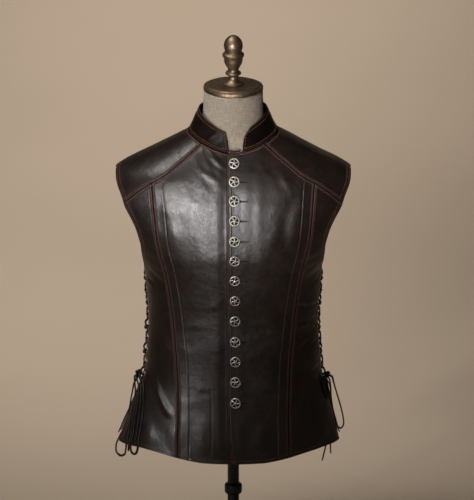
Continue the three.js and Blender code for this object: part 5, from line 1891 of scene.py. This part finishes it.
# %% [markdown]
# ## The dress form
# The form is a hard shell covered in greige linen, stretched tight, so it is as smooth as its sections.
# Its weave is two crossed sets of threads, finer than a millimetre, with thicker slubs here and there.


# %% Linen
def make_linen():
    material, tree, shader = finish_named("greige_linen")
    place = node(tree, "UVMap", uv_map="cloth").outputs["UV"]
    bands = {"Vector": place, "Scale": 190.0, "Distortion": 1.6, "Detail": 2.0, "Detail Scale": 1.5}
    warp = node(tree, "TexWave", bands, bands_direction="X").outputs["Fac"]
    weft = node(tree, "TexWave", bands, bands_direction="Y").outputs["Fac"]
    weave = combined(tree, "MAXIMUM", warp, weft)
    stretched_u = node(tree, "Mapping", {"Vector": place, "Scale": (60, 900, 1)}).outputs["Vector"]
    stretched_v = node(tree, "Mapping", {"Vector": place, "Scale": (900, 60, 1)}).outputs["Vector"]
    slubs = combined(tree, "ADD", noise(tree, stretched_u, 1, 2), noise(tree, stretched_v, 1, 2))
    tone = tinted(tree, ranged(tree, slubs, 0.75, 1.25, 0, 1), (0.250, 0.204, 0.153), (0.455, 0.385, 0.298))
    # painted shade between the threads of the weave
    tone = tinted(tree, ranged(tree, weave, 0.2, 0.9, 0.45, 0), tone, (0.12, 0.09, 0.065))
    tree.links.new(tone, shader.inputs["Base Color"])
    shader.inputs["Roughness"].default_value = 0.92
    shader.inputs["Sheen Weight"].default_value = 0.15
    first = bumped(tree, shader, weave, 0.0004, 0.8)
    bumped(tree, shader, slubs, 0.0004, 0.5, under=first)
    return material


linen = make_linen()

# %% Cover the form
FORM_NAME = "linen_form"
FORM_SECTIONS = table("z half front back round", [
    (35, 188, 118, 112, 2.3), (108, 176, 109, 101, 2.3), (153, 166, 105, 95, 2.3),
    (200, 163, 102, 89, 2.3), (262, 159, 100, 86, 2.3), (320, 162, 103, 92, 2.3),
    (376, 167, 109, 101, 2.3), (430, 178, 114, 110, 2.3), (482, 193, 114, 115, 2.3),
    (520, 202, 109, 114.5, 2.3), (550, 205, 103, 109, 2.3), (575, 202.5, 96, 103, 2.3),
    (592, 194.3, 91, 98, 2.3), (609, 179.6, 84, 91.5, 2.3), (622, 153.4, 77.2, 85.2, 2.3),
    (635, 131, 70, 79, 2.3), (648, 106.5, 64.5, 71.5, 2.3), (661, 82, 61, 64.5, 2.2),
    (670, 71, 60, 62.5, 2.1), (682, 64, 59.4, 60.3, 2), (702, 60, 59, 59, 2), (745, 59, 59, 59, 2),
])
FORM_FOOT = 35
NECK_TOP = 745
form_at = {key: curve(FORM_SECTIONS, "z", key) for key in ("half", "front", "back", "round")}
shoulder_z = np.arange(600, 700, 4)
neck_z = np.arange(700, NECK_TOP - 1, 5)
form_z = np.concatenate([[FORM_FOOT], np.arange(FORM_FOOT + 1.5, 600, 7), shoulder_z, neck_z, [NECK_TOP]])
FORM_SIDES = 112
angles = np.linspace(0, 2 * np.pi, FORM_SIDES, endpoint=False)
rings = []
for z in form_z:
    power = 2 / float(form_at["round"](z))
    across, along = np.sin(angles), -np.cos(angles)
    deep = np.where(along < 0, form_at["front"](z), form_at["back"](z))
    under_collar = 1.3 * (1 - ease(z, 655, 690))
    rounded_foot = 1.6 * (1 - ease(z, FORM_FOOT, FORM_FOOT + 3))
    inset = under_collar + rounded_foot
    x = (form_at["half"](z) - inset) * np.sign(across) * np.abs(across) ** power
    y = (deep - inset) * np.sign(along) * np.abs(along) ** power
    seam = 0.5 * hill(x - 2.5, 0.8) * (y < 0)
    rings.append(np.stack([x, y + seam, np.full_like(x, z)], -1))
linen_form = new_piece(FORM_NAME, np.vstack(rings), ring_faces(len(form_z), FORM_SIDES), linen)
cloth = linen_form.data.uv_layers.new(name="cloth")
NECK_ROUND = 0.37
side_count = (len(form_z) - 1) * FORM_SIDES
for polygon in linen_form.data.polygons:
    closes_ring = polygon.index < side_count and polygon.index % FORM_SIDES == FORM_SIDES - 1
    for corner in polygon.loop_indices:
        vertex = linen_form.data.loops[corner].vertex_index
        ring_index, place_index = divmod(vertex, FORM_SIDES)
        if place_index == 0 and closes_ring:
            place_index = FORM_SIDES
        cloth.data[corner].uv = (place_index / FORM_SIDES * NECK_ROUND, form_z[ring_index] / 1000)
belongs(linen_form, "form_body")
print("form faces", len(linen_form.data.polygons))

# %% [markdown]
# ## Turned pieces
# The cap, the finial and the stand are turned on a lathe. A ring is added at the foot, then extruded
# and scaled up its profile one ledge at a time, as the lathe tool would follow it, and closed on top.

# %% Finishes of the turned pieces
bronze = make_plain("antique_bronze", (0.150, 0.106, 0.070), (0.42, 0.310, 0.210), 130, 0.47, 0.00025, 1.0)
iron = make_plain("black_iron", (0.006, 0.006, 0.006), (0.013, 0.013, 0.013), 180, 0.42, 0.0002, 0.3)


# %% A lathe made of extrusions
def turned(name, profile, foot, finish, node_name, sides, bevel):
    """A solid of revolution about the upright axis from rows of radius and height in millimetres."""
    first_r, first_z = profile[0]
    bpy.ops.mesh.primitive_circle_add(vertices=sides, radius=first_r * MM, fill_type="NGON",
                                      location=(0, 0, (foot + first_z) * MM))
    piece = bpy.context.object
    piece.name = name
    bpy.ops.object.transform_apply(location=True, rotation=True, scale=True)
    edit()
    bpy.ops.mesh.select_all(action="SELECT")
    for (r0, z0), (r1, z1) in zip(profile, profile[1:]):
        bpy.ops.mesh.extrude_region_move(TRANSFORM_OT_translate={"value": (0, 0, (z1 - z0) * MM)})
        bpy.ops.transform.resize(value=(r1 / r0, r1 / r0, 1), center_override=(0, 0, (foot + z1) * MM))
    bpy.ops.mesh.select_all(action="SELECT")
    bpy.ops.mesh.remove_doubles(threshold=1e-6)
    bpy.ops.mesh.normals_make_consistent(inside=False)
    edit(False)
    if bevel:
        rounding = piece.modifiers.new("rounding", "BEVEL")
        rounding.width = bevel * MM
        rounding.segments = 2
        rounding.limit_method = "ANGLE"
        rounding.angle_limit = math.radians(25)
        bpy.ops.object.modifier_apply(modifier=rounding.name)
    bpy.ops.object.shade_smooth_by_angle(angle=math.radians(40))
    piece.data.materials.append(finish)
    belongs(piece, node_name)
    bpy.ops.object.select_all(action="DESELECT")


# %% Turn the cap and the finial
GAP = 0.3            # between one turned piece and the next
CAP_FOOT = HEM + NECK_TOP + GAP
CAP_PROFILE = [(58.4, 0), (59.3, 0.8), (59.5, 1.8), (59.5, 6.6), (59.0, 7.8), (57.6, 8.5), (54.8, 8.9),
               (53.4, 9.6), (52.4, 10.7), (51.0, 11.0), (30, 11.0), (8, 11.0)]
turned("neck_cap_bronze", CAP_PROFILE, CAP_FOOT, bronze, "neck_cap", 72, 0.0)
FINIAL_PROFILE = [
    (20, 0), (21, 1.2), (21, 2.5), (17.5, 4.6), (12.6, 8), (10.2, 12), (10, 17), (11.6, 19.4),
    (15, 20.6), (15.9, 23), (15, 25.4), (11.4, 27.2), (10.6, 29.5), (11.4, 33), (14.6, 38.5),
    (17.6, 44.5), (18.8, 50), (19, 54.5), (20.2, 56.6), (21.7, 59), (21.7, 63), (19.6, 65.2),
    (16.4, 66.6), (16.9, 70), (18.5, 75), (19.1, 80), (18.6, 85), (16.8, 90), (13.8, 94.6),
    (9.6, 98.6), (5.0, 101), (1.2, 102),
]
finial_foot = CAP_FOOT + CAP_PROFILE[-1][1] + GAP
turned("finial_bronze", FINIAL_PROFILE, finial_foot, bronze, "finial", 48, 0.0)

# %% Turn the stand
POLE = 11.5
BASE_PROFILE = [(157.5, 0), (160, 2), (160, 9), (158.5, 12), (154, 14.5), (120, 16.4), (90, 18.2),
                (60, 20.4), (40, 22.8), (28, 25.6), (23, 27.6), (20, 30), (17.5, 32.6), (16, 34), (12, 34)]
turned("base_iron", BASE_PROFILE, 0, iron, "base", 96, 0.0)
POLE_COLLAR_PROFILE = [(13, 0), (15.5, 1.4), (17, 3.2), (17.5, 5), (17.5, 18), (16.8, 19.8), (15.2, 21.2),
                       (13.6, 22), (11.8, 22)]
POLE_COLLAR_TOP = HEM - 86
pole_collar_foot = POLE_COLLAR_TOP - POLE_COLLAR_PROFILE[-1][1]
lower_foot = BASE_PROFILE[-1][1] + GAP
lower_pole = [(POLE, 0), (POLE, pole_collar_foot - GAP - lower_foot)]
turned("pole_lower_iron", lower_pole, lower_foot, iron, "pole_lower", 40, 0.3)
turned("pole_collar_iron", POLE_COLLAR_PROFILE, pole_collar_foot, iron, "pole_collar", 48, 0.0)
pole_foot = POLE_COLLAR_TOP + GAP
upper_pole = [(POLE, 0), (POLE, HEM + FORM_FOOT - GAP - pole_foot)]
turned("pole_iron", upper_pole, pole_foot, iron, "pole", 40, 0.3)
print("stand turned")

# %% [markdown]
# ## The cut sizes
# A cutter's list gives each piece's width and length on the hide and the area it takes. Each panel's
# sizes are printed as it is sewn up.

# %% [markdown]
# ## The studio
# A plain warm sweep runs under the stand and curves up behind it. Soft lights with grids stand to the
# left in front, two high, one low and a small one for the hem, so the chest shines and the far side
# falls away. One more hangs above the shoulders, three wash the sweep, and one lights only the back.

# %% The sweep
bpy.ops.mesh.primitive_plane_add(size=1, location=(0, 0, 0))
sweep = bpy.context.object
sweep.name = "sweep"
sweep.scale = (9, 5.0, 1)
bpy.ops.object.transform_apply(location=True, rotation=True, scale=True)
edit()
bpy.ops.mesh.select_mode(type="EDGE")
bpy.ops.mesh.select_all(action="DESELECT")
edit(False)
for sweep_edge in sweep.data.edges:
    ends = [sweep.data.vertices[v].co for v in sweep_edge.vertices]
    sweep_edge.select = all(end.y > 2.4 for end in ends)
for polygon in sweep.data.polygons:
    polygon.select = False
edit()
bpy.ops.mesh.spin(steps=24, angle=math.radians(-80), center=(0, 2.5, 2.2), axis=(1, 0, 0))
bpy.ops.mesh.extrude_region_move(TRANSFORM_OT_translate={"value": (0, 0.5, 3.0)})
edit(False)
bpy.ops.object.shade_smooth()
bpy.ops.object.select_all(action="DESELECT")
paper, paper_tree, paper_shader = finish_named("warm_paper")
paper_place = node(paper_tree, "TexCoord").outputs["Object"]
paper_clouds = noise(paper_tree, paper_place, 1.6, 4, 0.55)
paper_share = ranged(paper_tree, paper_clouds, 0.35, 0.65, 0, 1)
paper_tone = tinted(paper_tree, paper_share, (0.513, 0.415, 0.318), (0.53, 0.430, 0.331))
paper_tree.links.new(paper_tone, paper_shader.inputs["Base Color"])
paper_shader.inputs["Roughness"].default_value = 0.95
paper_shader.inputs["Specular IOR Level"].default_value = 0.1
sweep.data.materials.append(paper)


# %% The lights
def softbox(name, place, aim, size, power, tint, spread):
    """A soft light with a honeycomb grid that keeps its light within a cone."""
    light = bpy.data.lights.new(name, "AREA")
    light.shape = "RECTANGLE"
    light.size, light.size_y = size
    light.energy = power
    light.color = tint
    light.spread = math.radians(spread)
    lamp = bpy.data.objects.new(name, light)
    scene.collection.objects.link(lamp)
    lamp.visible_camera = False
    lamp.location = place
    lamp.rotation_euler = (Vector(place) - Vector(aim)).to_track_quat("Z", "Y").to_euler()
    return lamp


DAYLIGHT = (1, 0.98, 0.97)
WARM = (1, 0.97, 0.94)
WARMER = (1, 0.96, 0.92)
softbox("key_high", (-1.30, -2.70, 1.56), (-0.10, 0, 1.12), (1.4, 1.4), 1.22, DAYLIGHT, 18)
softbox("key_foot", (-0.50, -1.78, 0.42), (-0.10, 0, 0.85), (0.7, 0.4), 0.23, DAYLIGHT, 15)
softbox("key_hem", (-1.7, -2.4, 0.95), (-0.222, -0.05, 0.335), (0.4, 0.4), 0.09, DAYLIGHT, 4)
softbox("key_low", (-0.70, -2.94, 1.12), (-0.12, 0, 1.15), (1.2, 0.8), 1.95, DAYLIGHT, 18)
softbox("top", (-0.9, -0.5, 3.0), (0, 0, 0.8), (0.9, 0.9), 2.5, WARM, 50)
behind = softbox("behind", (0.35, 2.5, 1.3), (0, 0.1, 0.75), (0.9, 0.9), 4.0, WARM, 34)
back_only = bpy.data.collections.new("lit_from_behind")
for name in ("back_centre_leather", "back_side_left_leather", "back_side_right_leather"):
    back_only.objects.link(bpy.data.objects[name])
behind.light_linking.receiver_collection = back_only
softbox("wash_back", (-0.10, 2.6, 2.6), (-0.10, 3.6, 0.6), (1.2, 1.2), 10.5, WARMER, 80)
softbox("wash_middle", (-0.30, 2.2, 2.6), (-0.30, 2.2, 0), (1.2, 1.2), 6.2, WARMER, 70)
softbox("wash_front", (-0.5, 1.1, 2.6), (-0.4, 1.1, 0), (1.2, 1.2), 4.8, WARMER, 60)
world = bpy.data.worlds.new("studio")
scene.world = world
world.use_nodes = True
world.node_tree.nodes["Background"].inputs["Color"].default_value = (0.93, 0.80, 0.67, 1)
world.node_tree.nodes["Background"].inputs["Strength"].default_value = 0.046
scene.view_settings.view_transform = "Standard"
